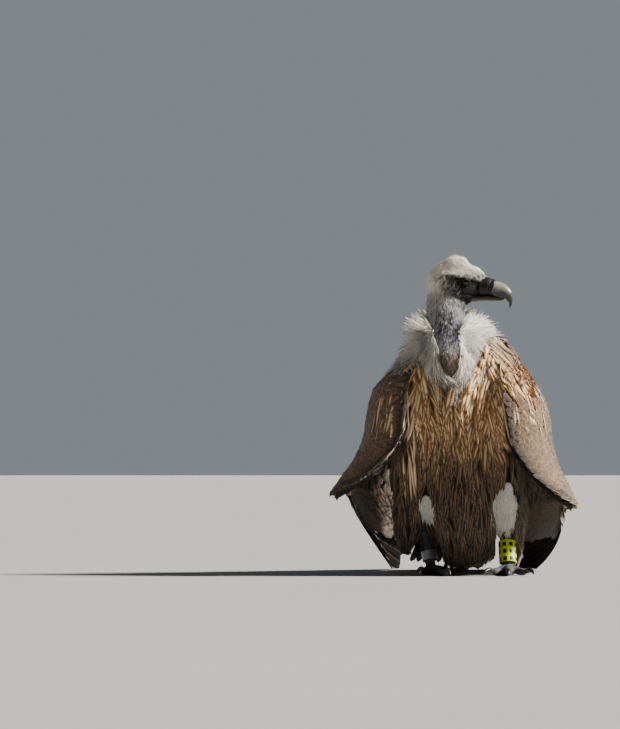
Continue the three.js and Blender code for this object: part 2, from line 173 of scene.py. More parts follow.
def feather_layers(mesh, bake, vane, core, rim, shaft):
    """The layers that the feathers' materials read, from a row for each point."""
    corner = rows_of(mesh.loops, "vertex_index", 1, np.int32)[:, 0]
    for name, values in (("OFBake", bake), ("Vane", vane)):
        layer = mesh.uv_layers.new(name=name)
        layer.data.foreach_set("uv", values[corner].astype(np.float32).ravel())
    colour_layer(mesh, "Core", core)
    colour_layer(mesh, "Rim", rim)
    number_layer(mesh, "Shaft", shaft)


def new_object(name, data):
    made = bpy.data.objects.new(name, data)
    bpy.context.scene.collection.objects.link(made)
    return made


def place(name, mesh, material, nodes=()):
    """Puts a mesh, whose points are in the bird's frame, into the scene as a piece."""
    set_points(mesh, mesh_points(mesh) + SHIFT)
    mesh.materials.clear()
    mesh.materials.append(material)
    piece = new_object(name, mesh)
    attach(piece, "root")
    if nodes:
        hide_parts(*nodes)


def mesh_of(name, points, faces):
    mesh = bpy.data.meshes.new(name)
    mesh.from_pydata(np.asarray(points).tolist(), [], [list(map(int, f)) for f in faces])
    mesh.update()
    mesh.shade_smooth()
    return mesh


def grid_faces(rows, around, closed=False):
    """Faces between neighbouring rows of points, each row a ring of around points."""
    i, j = np.meshgrid(np.arange(rows - (not closed)), np.arange(around), indexing="ij")
    k, m = (i + 1) % rows, (j + 1) % around
    corners = [i * around + j, i * around + m, k * around + m, k * around + j]
    return np.stack(corners, -1).reshape(-1, 4).tolist()


def tube_faces(rows, around):
    """The faces of a tube of rings with a point at each end, the last two of its points."""
    faces = grid_faces(rows, around)
    last = (rows - 1) * around
    for j in range(around):
        k = (j + 1) % around
        faces += [[last + around, k, j], [last + around + 1, last + j, last + k]]
    return faces


def loft(stations, around, along, across=(1, 0, 0), caps=(0.1, 0.1), shape=None):
    """Points and faces of a closed body along stations of x, y, z, half width, half depth.

    The last two of what it returns are, for each point, its share of the way along and its
    angle round the body."""
    stations = np.asarray(stations, float) * MM
    across = np.array(across, float)
    even = np.linspace(0, 1, along + 1)[1:-1]
    t = even - 0.06 * np.sin(2 * np.pi * even)
    rows = spline(stations, t)
    tangent = unit(spline(stations, t + 1e-3)[:, :3] - spline(stations, t - 1e-3)[:, :3])
    side = unit(across - tangent * (tangent @ across)[:, None])
    depth = np.cross(tangent, side)
    end = np.minimum(np.minimum(t / caps[0], (1 - t) / caps[1]), 1)
    round_off = np.sqrt(np.maximum(0, 1 - (1 - end) ** 2))
    angle = np.linspace(0, 2 * np.pi, around, endpoint=False)
    c, s = np.broadcast_arrays(np.cos(angle)[None], np.sin(angle)[None])
    if shape is not None:
        c, s = shape(c, s)
    wide = (round_off * rows[:, 3])[:, None] * c
    deep = (round_off * rows[:, 4])[:, None] * s
    rings = rows[:, None, :3] + wide[..., None] * side[:, None] + deep[..., None] * depth[:, None]
    points = np.concatenate([rings.reshape(-1, 3), stations[:1, :3], stations[-1:, :3]])
    share = np.concatenate([np.repeat(t, around), [0, 1]])
    angles = np.concatenate([np.tile(angle, len(t)), [0, 0]])
    return points, tube_faces(len(t), around), share, angles


# ------------------------------------------------------------------ materials


class Look:
    """A small helper that builds one material's nodes."""

    def __init__(self, name, roughness=0.8, specular=0.3):
        self.material = bpy.data.materials.new(name)
        self.material.use_nodes = True
        self.tree = self.material.node_tree
        self.shader = self.tree.nodes["Principled BSDF"]
        self.fix(self.shader, {"Roughness": roughness, "Specular IOR Level": specular})

    def fix(self, node, values):
        """Sets inputs of a node to values that are the same all over."""
        for name, value in values.items():
            node.inputs[name].default_value = value

    def node(self, kind, **settings):
        made = self.tree.nodes.new(kind)
        for key, value in settings.items():
            setattr(made, key, value)
        return made

    def link(self, out, into):
        self.tree.links.new(out, into)

    def put(self, socket, value):
        if isinstance(value, bpy.types.NodeSocket):
            self.link(value, socket)
        elif isinstance(value, (tuple, list, np.ndarray)):
            socket.default_value = (*[float(x) for x in value], 1)[: len(socket.default_value)]
        else:
            socket.default_value = value

    def maths(self, operation, a, b=0.0, c=0.0):
        made = self.node("ShaderNodeMath", operation=operation)
        for socket, value in zip(made.inputs, (a, b, c)):
            self.put(socket, value)
        return made.outputs[0]

    def times(self, a, b):
        return self.maths("MULTIPLY", a, b)

    def line(self, a, slope, start):
        """a times slope, plus start."""
        return self.maths("MULTIPLY_ADD", a, slope, start)

    def step(self, value, low, high):
        made = self.node("ShaderNodeMapRange", interpolation_type="SMOOTHSTEP")
        self.put(made.inputs["Value"], value)
        self.fix(made, {"From Min": low, "From Max": high})
        return made.outputs["Result"]

    def fall(self, value, low, high):
        """A smooth step down from 1 to 0."""
        return self.maths("SUBTRACT", 1.0, self.step(value, low, high))

    def blend(self, share, a, b, mode="MIX"):
        made = self.node("ShaderNodeMix", data_type="RGBA", blend_type=mode)
        self.put(made.inputs["Factor"], share)
        self.put(made.inputs[6], a)
        self.put(made.inputs[7], b)
        return made.outputs[2]

    def colour(self, layer):
        return self.node("ShaderNodeVertexColor", layer_name=layer).outputs["Color"]

    def number(self, layer):
        return self.node("ShaderNodeAttribute", attribute_name=layer).outputs["Fac"]

    def vane(self):
        """Across (0 to 1) and along (0 to 1) of a feather."""
        uv = self.node("ShaderNodeUVMap", uv_map="Vane")
        split = self.node("ShaderNodeSeparateXYZ")
        self.link(uv.outputs[0], split.inputs[0])
        return split.outputs[0], split.outputs[1]

    def toned(self, colour, grey):
        """A colour made lighter or darker by a number."""
        tone = self.node("ShaderNodeCombineColor")
        for socket in tone.inputs[:3]:
            self.link(grey, socket)
        return self.blend(1.0, colour, tone.outputs[0], "MULTIPLY")

    def noise(self, scale, detail=3.0):
        made = self.node("ShaderNodeTexNoise")
        self.fix(made, {"Scale": scale, "Detail": detail})
        self.link(self.node("ShaderNodeTexCoord").outputs["Object"], made.inputs["Vector"])
        return made.outputs["Fac"]

    def bump(self, height, strength, distance):
        made = self.node("ShaderNodeBump")
        self.fix(made, {"Strength": strength, "Distance": distance})
        self.link(height, made.inputs["Height"])
        self.link(made.outputs[0], self.shader.inputs["Normal"])

    def base(self, colour):
        self.put(self.shader.inputs["Base Color"], colour)
        return self.material


def feather_material(name, rim_from, rim_to, quill, barbs=30.0, gloss=0.62, sheen=0.25,
                     specular=0.2):
    """A vane with a middle and a rim colour, a line of the quill's colour and slanting barbs."""
    look = Look(name, gloss, specular)
    look.fix(look.shader, {"Sheen Weight": sheen, "Sheen Roughness": 0.6})
    u, v = look.vane()
    off = look.maths("ABSOLUTE", look.line(u, 2.0, -1.0))
    ragged = look.line(look.noise(900.0, 2.0), 0.35, -0.17)
    tip = look.times(look.step(v, 0.72, 1.0), 0.75)
    rim = look.step(look.maths("ADD", look.maths("MAXIMUM", off, tip), ragged), rim_from, rim_to)
    colour = look.blend(rim, look.colour("Core"), look.colour("Rim"))
    shaft = look.times(look.fall(off, 0.03, 0.14), look.number("Shaft"))
    colour = look.blend(shaft, colour, quill)
    wave = look.maths("SINE", look.times(look.line(off, -7.0, look.times(v, barbs)), 6.283))
    shade, broad = look.line(wave, 0.1, 0.95), look.line(look.noise(45.0), 0.5, 0.78)
    look.bump(wave, 0.35, 0.0006)
    return look.base(look.toned(colour, look.times(shade, broad)))


def down_material(name, sheen=0.4):
    """Soft matt down of the Core layer's colour."""
    look = Look(name, 0.9, 0.12)
    look.fix(look.shader, {"Sheen Weight": sheen, "Sheen Roughness": 0.5})
    return look.base(look.toned(look.colour("Core"), look.line(look.noise(500.0), 0.3, 0.85)))


# ------------------------------------------------------------------ the bird's measures

HEAD_CENTRE = np.array([-8, -46, 515])
HEAD_YAW = math.radians(-6)
EYE = (27, 18.0, 3.8)
EYE_RADIUS = 8.7


def turned(v, angle):
    """Turns rows of x, y, z about the z axis."""
    v = np.asarray(v, float)
    c, s = math.cos(angle), math.sin(angle)
    x, y = v[..., 0] * c - v[..., 1] * s, v[..., 0] * s + v[..., 1] * c
    return np.stack([x, y, v[..., 2]], -1)


def to_head(points):
    """From metres in the bird's frame to millimetres in the head's: x forward, y left, z up."""
    return turned(np.asarray(points) / MM - HEAD_CENTRE, -HEAD_YAW)


def from_head(points):
    return (turned(points, HEAD_YAW) + HEAD_CENTRE) * MM


class Foot:
    """One foot's place: its side, where its tarsus lands, how far it turns, and its ankle."""

    def __init__(self, side, x, y, yaw, ankle):
        self.side, self.yaw, self.ankle = side, math.radians(yaw), ankle
        self.base = np.array([x, y, 0.0])

    def out(self, local, turn=0.0):
        """From millimetres along a toe to metres in the bird's frame."""
        return (turned(local, self.yaw + self.side * math.radians(turn)) + self.base) * MM

    def into(self, points, turn=0.0):
        away = np.asarray(points) / MM - self.base
        return turned(away, -self.yaw - self.side * math.radians(turn))


LEFT_FOOT = Foot(1, 95, 0, -2, (92, 22, 78))
RIGHT_FOOT = Foot(-1, -42, -2, 16, (-53, 20, 84))
# Each toe's way in degrees, its length without the claw, and its radius.
TOES = {"middle": (0, 88, 8), "inner": (-34, 54, 8), "outer": (32, 62, 7.4),
        "hind": (172, 36, 7.6)}
CLAW = 25

# ------------------------------------------------------------------ the skin

VOXEL = 0.003
BRIDGE = 0.018  # half the width of the grooves that the loose surface bridges
SWELL = 0.9  # how far the solids are blown up before they are joined, taken back afterwards
MOST_SUNK = 0.36  # the most that the coat may sink into a limb, as a share of its thickness
# How deep the coat lies over the skin, in millimetres.
COAT_DEPTH = {
    "head": 3.0, "neck": 3.5, "collar": 17, "trunk": 9, "belly": 9, "thigh_left": 6.5,
    "thigh_right": 6.5, "trouser_left": 7, "trouser_right": 7, "tarsus_left": 0,
    "tarsus_right": 0, "foot_left": 0, "foot_right": 0, "wing_left_arm": 6,
    "wing_right_arm": 6,
}
FLESH = list(COAT_DEPTH)

# Where the white thighs show between the feathers: middle x and z, half width and height, and
# how far back the opening reaches.
THIGH_SHOWN = ((88, 110, 24, 46, 40), (-53, 118, 15, 20, 14))


def in_opening(points, edge=1.0):
    """Whether each point lies where a white thigh shows; edge makes the openings larger."""
    x, y, z = np.moveaxis(points / MM, -1, 0)
    ragged = 0.3 * wobble(points, 0.018, 47)
    return np.any([(((x - mx) / wide) ** 2 + ((z - mz) / tall) ** 2 + ragged < edge) & (y < back)
                   for mx, mz, wide, tall, back in THIGH_SHOWN], axis=0)


def is_part(owner, *names):
    """Which vertices or faces of the skin lie on the solids whose names start as given."""
    return np.isin(owner, [i for i, name in enumerate(FLESH) if name.startswith(names)])


def node_arrays(name):
    """A solid's points and normals, in the bird's frame, and its triangles."""
    bm = bmesh.new()
    bm.from_mesh(NODES[name].data)
    bm.transform(NODES[name].matrix_world)
    bmesh.ops.remove_doubles(bm, verts=bm.verts, dist=1e-6)
    bmesh.ops.triangulate(bm, faces=bm.faces)
    bm.normal_update()
    points = np.array([v.co for v in bm.verts]) - SHIFT
    normals = np.array([v.normal for v in bm.verts])
    faces = np.array([[v.index for v in f.verts] for f in bm.faces])
    bm.free()
    return points, normals, faces


def flesh_surface():
    """The flesh solids as one set of triangles, with the number of its solid for each."""
    points, faces, owner, start = [], [], [], 0
    for number, name in enumerate(FLESH):
        p, n, f = node_arrays(name)
        points.append(p + n * SWELL * MM)
        faces.append(f + start)
        owner.append(np.full(len(f), number))
        start += len(p)
    return np.concatenate(points), np.concatenate(faces), np.concatenate(owner)


def remeshed(points, faces, voxel):
    mesh = bpy.data.meshes.new("raw")
    mesh.from_pydata(points.tolist(), [], faces.tolist())
    raw = new_object("raw", mesh)
    mod = raw.modifiers.new("voxels", "REMESH")
    mod.mode = "VOXEL"
    mod.voxel_size = voxel
    graph = bpy.context.evaluated_depsgraph_get()
    out = bpy.data.meshes.new_from_object(raw.evaluated_get(graph))
    bpy.data.objects.remove(raw)
    return out


def relax(values, edges, rounds, free=1.0):
    """Moves each vertex's values towards the mean of its neighbours'."""
    table = values.reshape(len(values), -1)
    count = np.maximum(np.bincount(edges.ravel(), minlength=len(table)), 1)[:, None]
    share = np.broadcast_to(0.6 * np.asarray(free, float), len(table))[:, None]
    for _ in range(rounds):
        total = np.zeros_like(table)
        for k in range(table.shape[1]):
            for a, b in ((0, 1), (1, 0)):
                total[:, k] += np.bincount(edges[:, a], table[edges[:, b], k], len(table))
        table = table * (1 - share) + total / count * share
    return table.reshape(values.shape)


def tree_of(mesh):
    points = mesh_points(mesh).tolist()
    return BVHTree.FromPolygons(points, [tuple(p.vertices) for p in mesh.polygons])


def owner_of(points, flesh_tree, flesh_owner):
    return flesh_owner[np.array([flesh_tree.find_nearest(p)[2] for p in points.tolist()])]


def refine(mesh, where):
    """Halves the skin's edges within the given faces."""
    bm = bmesh.new()
    bm.from_mesh(mesh)
    bm.faces.ensure_lookup_table()
    edges = list({e for i in np.flatnonzero(where) for e in bm.faces[i].edges})
    bmesh.ops.subdivide_edges(bm, edges=edges, cuts=1, use_grid_fill=True)
    bmesh.ops.triangulate(bm, faces=[f for f in bm.faces if len(f.verts) > 4])
    bm.to_mesh(mesh)
    bm.free()
    mesh.update()


def eye_axes(side):
    """An eye's middle in the head's frame, and its ways forward, up and outward."""
    outward = unit(np.array([0.22, side * 1.0, 0.05]))
    forward = unit(np.cross(outward, [0, 0, 1]) * side)
    up = np.cross(forward, outward) * side
    return np.array([EYE[0], side * EYE[1], EYE[2]]), forward, up, outward


def socket(points):
    """Pits in the skin that the eyes and their lids fill."""
    local = to_head(points)
    for side in (1, -1):
        middle, _, _, outward = eye_axes(side)
        away = local - middle
        reach = np.linalg.norm(away, axis=1)
        front = away @ outward
        off = np.sqrt(np.maximum(reach**2 - front**2, 0))
        pit = np.minimum(reach, EYE_RADIUS - 1.4)
        use = (1 - smooth(off, 5.8, 7.4)) * (front > 0)
        local = local + unit(away) * ((pit - reach) * use)[:, None]
    return from_head(local)


def eyelids(side):
    """Points in the bird's frame and faces of one eye's lids: a shell open in an almond shape."""
    middle, forward, up, outward = eye_axes(side)
    around = 120
    turn = np.linspace(0, 2 * np.pi, around, endpoint=False)
    # The opening slants down towards the bill, and is rounder below than above.
    slant = turn + 0.16
    half_high = np.where(np.sin(slant) > 0, 17, 25)
    x, y = 36 * np.cos(slant), half_high * np.sin(slant) * (1 - 0.3 * np.abs(np.cos(slant)) ** 3)
    first = np.radians(np.hypot(x, y))
    way = np.arctan2(y, x) - 0.16
    share = np.concatenate([np.linspace(0, 0.12, 7), np.linspace(0.15, 1, 34)])
    rim = np.sqrt(np.clip(share / 0.05, 0, 1) * (2 - np.clip(share / 0.05, 0, 1)))
    thick = 0.12 + 0.95 * rim
    for fold, at, wide in ((0.4, 0.1, 0.06), (-0.55, 0.3, 0.05), (0.3, 0.4, 0.06),
                           (-0.35, 0.52, 0.05)):
        thick = thick + fold * bell((share, at, wide))
    crease = 0.16 * np.sin(turn * 23 + 3 * np.sin(turn * 3))[:, None] * smooth(share, 0.1, 0.3)
    outer = EYE_RADIUS + thick[None] + crease
    inner = np.full((around, len(share)), EYE_RADIUS + 0.05)
    angle = first[:, None] + (np.radians(84) - first[:, None]) * share
    angle = np.concatenate([angle, angle[:, ::-1]], 1)
    radius = np.concatenate([outer, inner[:, ::-1]], 1)
    flat = np.cos(way)[:, None, None] * forward + np.sin(way)[:, None, None] * up
    away = np.sin(angle)[..., None] * flat + np.cos(angle)[..., None] * outward
    local = middle + radius[..., None] * away
    faces = grid_faces(around, angle.shape[1], closed=True)
    return from_head(local.reshape(-1, 3)), [face[::side] for face in faces]


def head_forms(points):
    """Brow, lores, cheek and gape, as moves of the head's skin in metres along its normal."""
    x, y, z = to_head(points).T
    side = np.abs(y)
    out = 3.6 * bell((x, 27, 17), (z, 13.8, 3.6)) * smooth(side, 10, 18)
    out += 2.2 * bell((x, 48, 12)) * smooth(z, 6, 16)
    out -= 2.0 * bell((x, 47, 9), (z, -1, 7)) * smooth(side, 6, 12)
    out += 1.5 * bell((x, 10, 14), (z, -14, 9))
    line = -17 - 0.1 * (x - 24)
    mouth = bell((z, line, 1.3)) * smooth(x, 16, 26)
    out -= 1.5 * mouth
    out += 0.7 * bell((z - line, -3.4, 1.8)) * smooth(x, 20, 30)
    crease = np.sin((x * 0.55 + z * 1.0) * 0.9 + 1.5 * np.sin(x * 0.11))
    out += 0.3 * crease * smooth(-z, 14, 24) * smooth(x, 5, 20)
    return out * MM


TOE_SCALE, SHANK_SCALE = 5.2, 5.6


def toe_scales(points, normals, owner):
    """Broad scales across the toes and down the front of the tarsi, in metres."""
    out = np.zeros(len(points))
    for foot, name in ((LEFT_FOOT, "_left"), (RIGHT_FOOT, "_right")):
        on_foot = is_part(owner, "foot" + name)
        best = np.full(len(points), 1e9)
        along = np.zeros(len(points))
        for turn, _, _ in TOES.values():
            local = foot.into(points, turn)
            off = np.abs(local[:, 0]) + 40 * (local[:, 1] > 8)
            use = (off < best) & (local[:, 1] < 8)
            best = np.where(use, off, best)
            along = np.where(use, -local[:, 1], along)
        saw = (along / TOE_SCALE) % 1
        scale = (0.75 * np.sqrt(saw) - 1.1 * smooth(saw, 0.86, 1.0)) * smooth(along, 6, 16)
        out += np.where(on_foot, scale * smooth(normals[:, 2], -0.2, 0.5), 0)
        on_shank = is_part(owner, "tarsus" + name)
        saw = (points[:, 2] / MM / SHANK_SCALE) % 1
        scale = 0.6 * np.sqrt(saw) - 0.9 * smooth(saw, 0.86, 1.0)
        out += np.where(on_shank, scale * smooth(-normals[:, 1], -0.1, 0.5), 0)
    return out * MM


def unwrap(mesh):
    """Gives a mesh an even unwrap of its own shape."""
    mesh.uv_layers.active = mesh.uv_layers.new(name="OFBake")
    holder = new_object("unwrap", mesh)
    bpy.context.view_layer.objects.active = holder
    holder.select_set(True)
    bpy.ops.object.mode_set(mode="EDIT")
    bpy.ops.mesh.select_all(action="SELECT")
    bpy.ops.uv.smart_project(angle_limit=math.radians(66), island_margin=0.002)
    bpy.ops.object.mode_set(mode="OBJECT")
    bpy.data.objects.remove(holder)


def make_skin():
    """The skin's mesh in the bird's frame, and the number of its solid for each vertex."""
    flesh_points, flesh_faces, flesh_owner = flesh_surface()
    flesh_tree = BVHTree.FromPolygons(flesh_points.tolist(), flesh_faces.tolist())
    mesh = remeshed(flesh_points, flesh_faces, VOXEL)
    points, edges = mesh_points(mesh), mesh_edges(mesh)
    owner = owner_of(points, flesh_tree, flesh_owner)
    depth = np.array([COAT_DEPTH[name] for name in FLESH])[owner] * MM
    bare = is_part(owner, "tarsus", "foot")
    points = relax(points, edges, 5, free=1 - 0.7 * bare)
    set_points(mesh, points)
    normals = mesh_normals(mesh)
    tree = tree_of(mesh)
    across = np.full(len(points), 0.2)
    for i, (p, n) in enumerate(zip((points - normals * 2e-4).tolist(), (-normals).tolist())):
        hit = tree.ray_cast(p, n, 0.2)
        if hit[0] is not None:
            across[i] = hit[3]
    depth = np.minimum(depth + SWELL * MM, MOST_SUNK * across)
    depth = np.where(bare, SWELL * MM, relax(depth, edges, 14))
    set_points(mesh, points - normals * depth[:, None])
    set_points(mesh, relax(mesh_points(mesh), edges, 8, free=1 - 0.9 * bare))

    owner = owner_of(rows_of(mesh.polygons, "center"), flesh_tree, flesh_owner)
    refine(mesh, is_part(owner, "head", "foot", "tarsus"))
    x, y, z = to_head(rows_of(mesh.polygons, "center")).T
    refine(mesh, (np.abs(x - EYE[0]) < 17) & (np.abs(z - EYE[2]) < 15) & (np.abs(y) > 8))
    points, edges = mesh_points(mesh), mesh_edges(mesh)
    owner = owner_of(points, flesh_tree, flesh_owner)
    fine = is_part(owner, "head", "foot", "tarsus")
    points = relax(points, edges, 4, free=0.8 * fine)
    set_points(mesh, points)
    normals = mesh_normals(mesh)
    move = np.where(is_part(owner, "head"), head_forms(points), 0)
    move = move + toe_scales(points, normals, owner)
    points = points + normals * move[:, None]
    points = np.where(is_part(owner, "head")[:, None], socket(points), points)
    points[:, 2] = np.maximum(points[:, 2], 0.2 * MM)
    set_points(mesh, points)
    faces = [list(p.vertices) for p in mesh.polygons]
    for side in (1, -1):
        lid_points, lid_faces = eyelids(side)
        faces += [[i + len(points) for i in f] for f in lid_faces]
        points = np.concatenate([points, lid_points])
        owner = np.concatenate([owner, np.full(len(lid_points), FLESH.index("head"))])
    mesh = mesh_of("skin", points, faces)
    unwrap(mesh)
    return mesh, owner


def make_envelope():
    """A loose surface over all the flesh that bridges the grooves between its parts."""
    points, faces, _ = flesh_surface()
    for voxel, move in ((0.010, BRIDGE), (0.008, -BRIDGE)):
        mesh = remeshed(points, faces, voxel)
        set_points(mesh, relax(mesh_points(mesh), mesh_edges(mesh), 4))
        points = mesh_points(mesh) + mesh_normals(mesh) * move
        faces = np.array([p.vertices[:] for p in mesh.polygons])
    set_points(mesh, relax(points, mesh_edges(mesh), 4))
    return tree_of(mesh)


skin, skin_owner = make_skin()
skin_tree = tree_of(skin)
envelope_tree = make_envelope()
print("skin", len(skin.vertices), "vertices", len(skin.polygons), "faces")

# ------------------------------------------------------------------ markings

WHITE_DOWN = srgb(246, 242, 234)
DARK_FACE = srgb(17, 16, 18)
DARK_NECK = srgb(58, 58, 64)


def head_marks(points):
    """A pale and a dark colour for each point of the head, and how much of it is dark."""
    x, _, z = to_head(points).T
    pale = mix(WHITE_DOWN, srgb(196, 190, 182), smooth(-z, -4, 26))
    pale = mix(pale, srgb(190, 189, 194), smooth(-z, 20, 36))
    dark = mix(DARK_FACE, DARK_NECK, smooth(-z, 26, 44))
    # The mask's top slopes down to the cere, and behind the eye it frays into dark streaks.
    top = 16.8 - 0.19 * (x - 10)
    ragged = wobble(points, 0.006, 41)
    behind = 6 + 0.36 * (14 - z)
    near = smooth(x - behind, -28, -2) * smooth(top - z, -7, 4) * (1 - 0.6 * smooth(-z, 6, 26))
    pale = mix(pale, srgb(112, 108, 104), 0.85 * near)
    mask = smooth(top - z, -1.0, 2.0) * smooth(x - behind + 5 * ragged, -9, 6)
    streaks = smooth(26 - z, 0, 12) * smooth(x, -34, -8)
    streaks *= 0.44 + 0.3 * smooth(x - behind, -18, -4) * smooth(top - z, -2, 4)
    streaks *= 1 - 0.2 * smooth(-z, 4, 30)
    throat = 0.75 * smooth(-z, 22, 30) * smooth(x, 22, 42)
    share = np.maximum(np.maximum(mask, streaks), throat)
    return pale, dark, np.clip(share, 0, 0.97)


def neck_marks(points):
    """Mottled grey down in front, paler round the back, and brown over the crop."""
    x, y, z = (points / MM).T
    front = smooth(-y, 58, 84)
    pale = mix(srgb(204, 202, 202), srgb(180, 180, 190), front)
    high = smooth(z, 466, 502)
    pale = mix(pale, srgb(216, 212, 206), 0.9 * high)
    middle = 1 - smooth(np.abs(x + 20), 6, 24)
    share = 0.14 + front * smooth(z, 402, 436) * (0.16 + 0.28 * middle) * (1 - 0.4 * high)
    patch = crop_patch(points)
    pale = mix(pale, mix(srgb(104, 76, 52), srgb(150, 126, 104), smooth(z, 366, 392)), patch)
    dark = mix(DARK_NECK, srgb(62, 42, 30), patch)
    return pale, dark, np.maximum(share, 0.45 * patch)


def crop_patch(points):
    """The bare-looking brown patch over the crop, low on the front of the neck."""
    x, y, z = (points / MM).T
    ragged = 5 * wobble(points, 0.008, 43)
    half = 5 + 24 * smooth(z, 340, 376)
    inside = 1 - smooth(np.abs(x + 14) - half + ragged, -5, 5)
    below = 1 - smooth(z + 1.6 * ragged, 380, 412)
    return inside * smooth(z, 328, 344) * below * smooth(-y, 70, 90)


def ruffed(points, owner):
    """Where the ruff grows: on the collar, and round the neck's root beside the crop."""
    x, y, z = (points / MM).T
    low = is_part(owner, "neck") & (z < 395) & (z > 350) & (crop_patch(points) < 0.3)
    shoulder = is_part(owner, "trunk", "wing_right") & (x < -46) & (z > 368) & (y < 10)
    nape = (y > 32) & (z < 382)
    scapular = (x > 56 + 4 * wobble(points, 0.012, 53)) & (z < 430)
    return is_part(owner, "collar") & ~nape & ~scapular | low | shoulder


def ruff_marks(points):
    """White plumes that turn sandy and darker towards the point of the V."""
    x, _, z = (points / MM).T
    pale = mix(WHITE_DOWN, srgb(214, 204, 192), smooth(-z, -400, -340))
    dark = mix(srgb(128, 122, 116), srgb(92, 72, 54), smooth(-z, -400, -350))
    share = 0.17 + 0.3 * smooth(-z, -400, -345) + 0.2 * smooth(np.abs(x), 55, 85)
    return pale, dark, share


def body_marks(points):
    """Tan above, deep brown below, for the sides of the feathers and their pale streaks; the deep
    brown is partly the bird's own colour and partly painted shade low on the body.
    """
    _, y, z = (points / MM).T
    # The darkening towards the bottom is partly the bird's own colour and partly painted shade
    # under the breast, darkest near the floor.
    low = smooth(-z, -340, -190)
    side = mix(srgb(150, 103, 58), srgb(36, 23, 12), low)
    side = mix(side, srgb(26, 18, 12), smooth(-z, -190, -40))
    side = mix(side, srgb(116, 90, 68), 0.8 * smooth(y, 10, 80))
    streak = mix(srgb(240, 210, 162), srgb(108, 75, 44), low)
    streak = mix(streak, srgb(76, 53, 33), smooth(-z, -190, -40))
    streak = mix(streak, srgb(160, 134, 108), 0.8 * smooth(y, 10, 80))
    return streak, side


def skin_colours_with_painted_shade(points, owner):
    """The skin's colour under and between the feathers, mostly painted darker as shade in their
    gaps.
    """
    pale, dark, share = head_marks(points)
    top = smooth(to_head(points)[:, 2:], 14, 26)
    share = np.clip(share * 1.15 + 0.2 * (1 - top[:, 0]), 0, 1)
    # Painted shade: the head's skin is a darker copy of the down's colours, darkest below the
    # crown.
    colours = mix(pale, dark, share) * (0.66 + 0.26 * top)
    for name, marks in (("neck", neck_marks), ("collar", ruff_marks)):
        pale, dark, share = marks(points)
        # Painted shade: the skin of the neck and collar is a darker copy of their down.
        here = mix(pale, dark, np.clip(share + 0.25, 0, 1)) * 0.75
        colours = np.where(is_part(owner, name)[:, None], here, colours)
    colours = np.where(ruffed(points, owner)[:, None], srgb(190, 184, 176), colours)
    _, side = body_marks(points)
    clad = is_part(owner, "trunk", "belly", "trouser", "thigh")
    # Painted shade: the body's skin is a darker copy of its feathers' sides.
    colours = np.where(clad[:, None], side * 0.6, colours)
    white = is_part(owner, "thigh_left") & (points[:, 2] < 0.08) | in_opening(points, 1.2)
    colours = np.where(white[:, None], srgb(196, 194, 192), colours)
    shank = is_part(owner, "thigh_right") & (points[:, 2] < 0.09)
    colours = np.where(shank[:, None], srgb(70, 66, 66), colours)
    # Painted shade: the wings' skin is dark brown, standing for the shade on the inner side of each
    # wing's front edge.
    colours = np.where(is_part(owner, "wing")[:, None], srgb(60, 45, 34), colours)
    z = (points[:, 2] / MM)[:, None]
    leg = srgb(66, 68, 74) + smooth(z, 60, 10) * srgb(60, 58, 56) * 0.5
    return np.where(is_part(owner, "tarsus", "foot")[:, None], leg, colours)


def skin_material():
    look = Look("skin", roughness=0.68, specular=0.22)
    cells = look.node("ShaderNodeTexVoronoi", feature="DISTANCE_TO_EDGE")
    look.fix(cells, {"Scale": 420})
    look.link(look.node("ShaderNodeTexCoord").outputs["Object"], cells.inputs["Vector"])
    gap = look.fall(cells.outputs["Distance"], 0.0, 0.09)
    scaly = look.times(look.number("Scaly"), gap)
    colour = look.blend(look.times(scaly, 0.55), look.colour("Core"), (0.02, 0.02, 0.022))
    worn = look.times(look.step(look.noise(160.0), 0.52, 0.72), look.number("Scaly"))
    colour = look.blend(look.times(worn, 0.3), colour, (0.25, 0.24, 0.23))
    grain = look.times(look.noise(700.0, 4.0), 0.5)
    look.bump(look.line(scaly, -1.0, grain), 0.5, 0.0008)
    return look.base(colour)


# ------------------------------------------------------------------ bill, eyes, claws, rings


def bill_material(name, stops, roughness, growth=0.12, worn=0.16, wet=0.25):
    """Horn that darkens along a piece, and below, with growth lines across it.

    The number layers Along and Low give a point's place in the colours."""
    look = Look(name, roughness=roughness, specular=0.2 + wet)
    ramp = look.node("ShaderNodeValToRGB")
    grain = look.noise(110.0, 5.0)
    shade = look.maths("ADD", look.number("Along"), look.number("Low"))
    look.link(look.line(grain, 0.16, look.maths("ADD", shade, -0.08)), ramp.inputs[0])
    while len(ramp.color_ramp.elements) < len(stops):
        ramp.color_ramp.elements.new(0.5)
    for element, (place_at, colour) in zip(ramp.color_ramp.elements, stops):
        element.position = place_at
        element.color = (*colour, 1)
    lines = look.maths("SINE", look.times(look.number("Along"), 190.0))
    fleck = look.step(look.noise(420.0, 4.0), 0.45, 0.75)
    colour = look.blend(look.times(fleck, worn), ramp.outputs[0], (0.3, 0.29, 0.26))
    scuffs = look.line(lines, growth, look.times(grain, 0.9))
    look.bump(scuffs, 0.3, 0.0006)
    look.fix(look.shader, {"Coat Weight": wet, "Coat Roughness": 0.3})
    return look.base(colour)


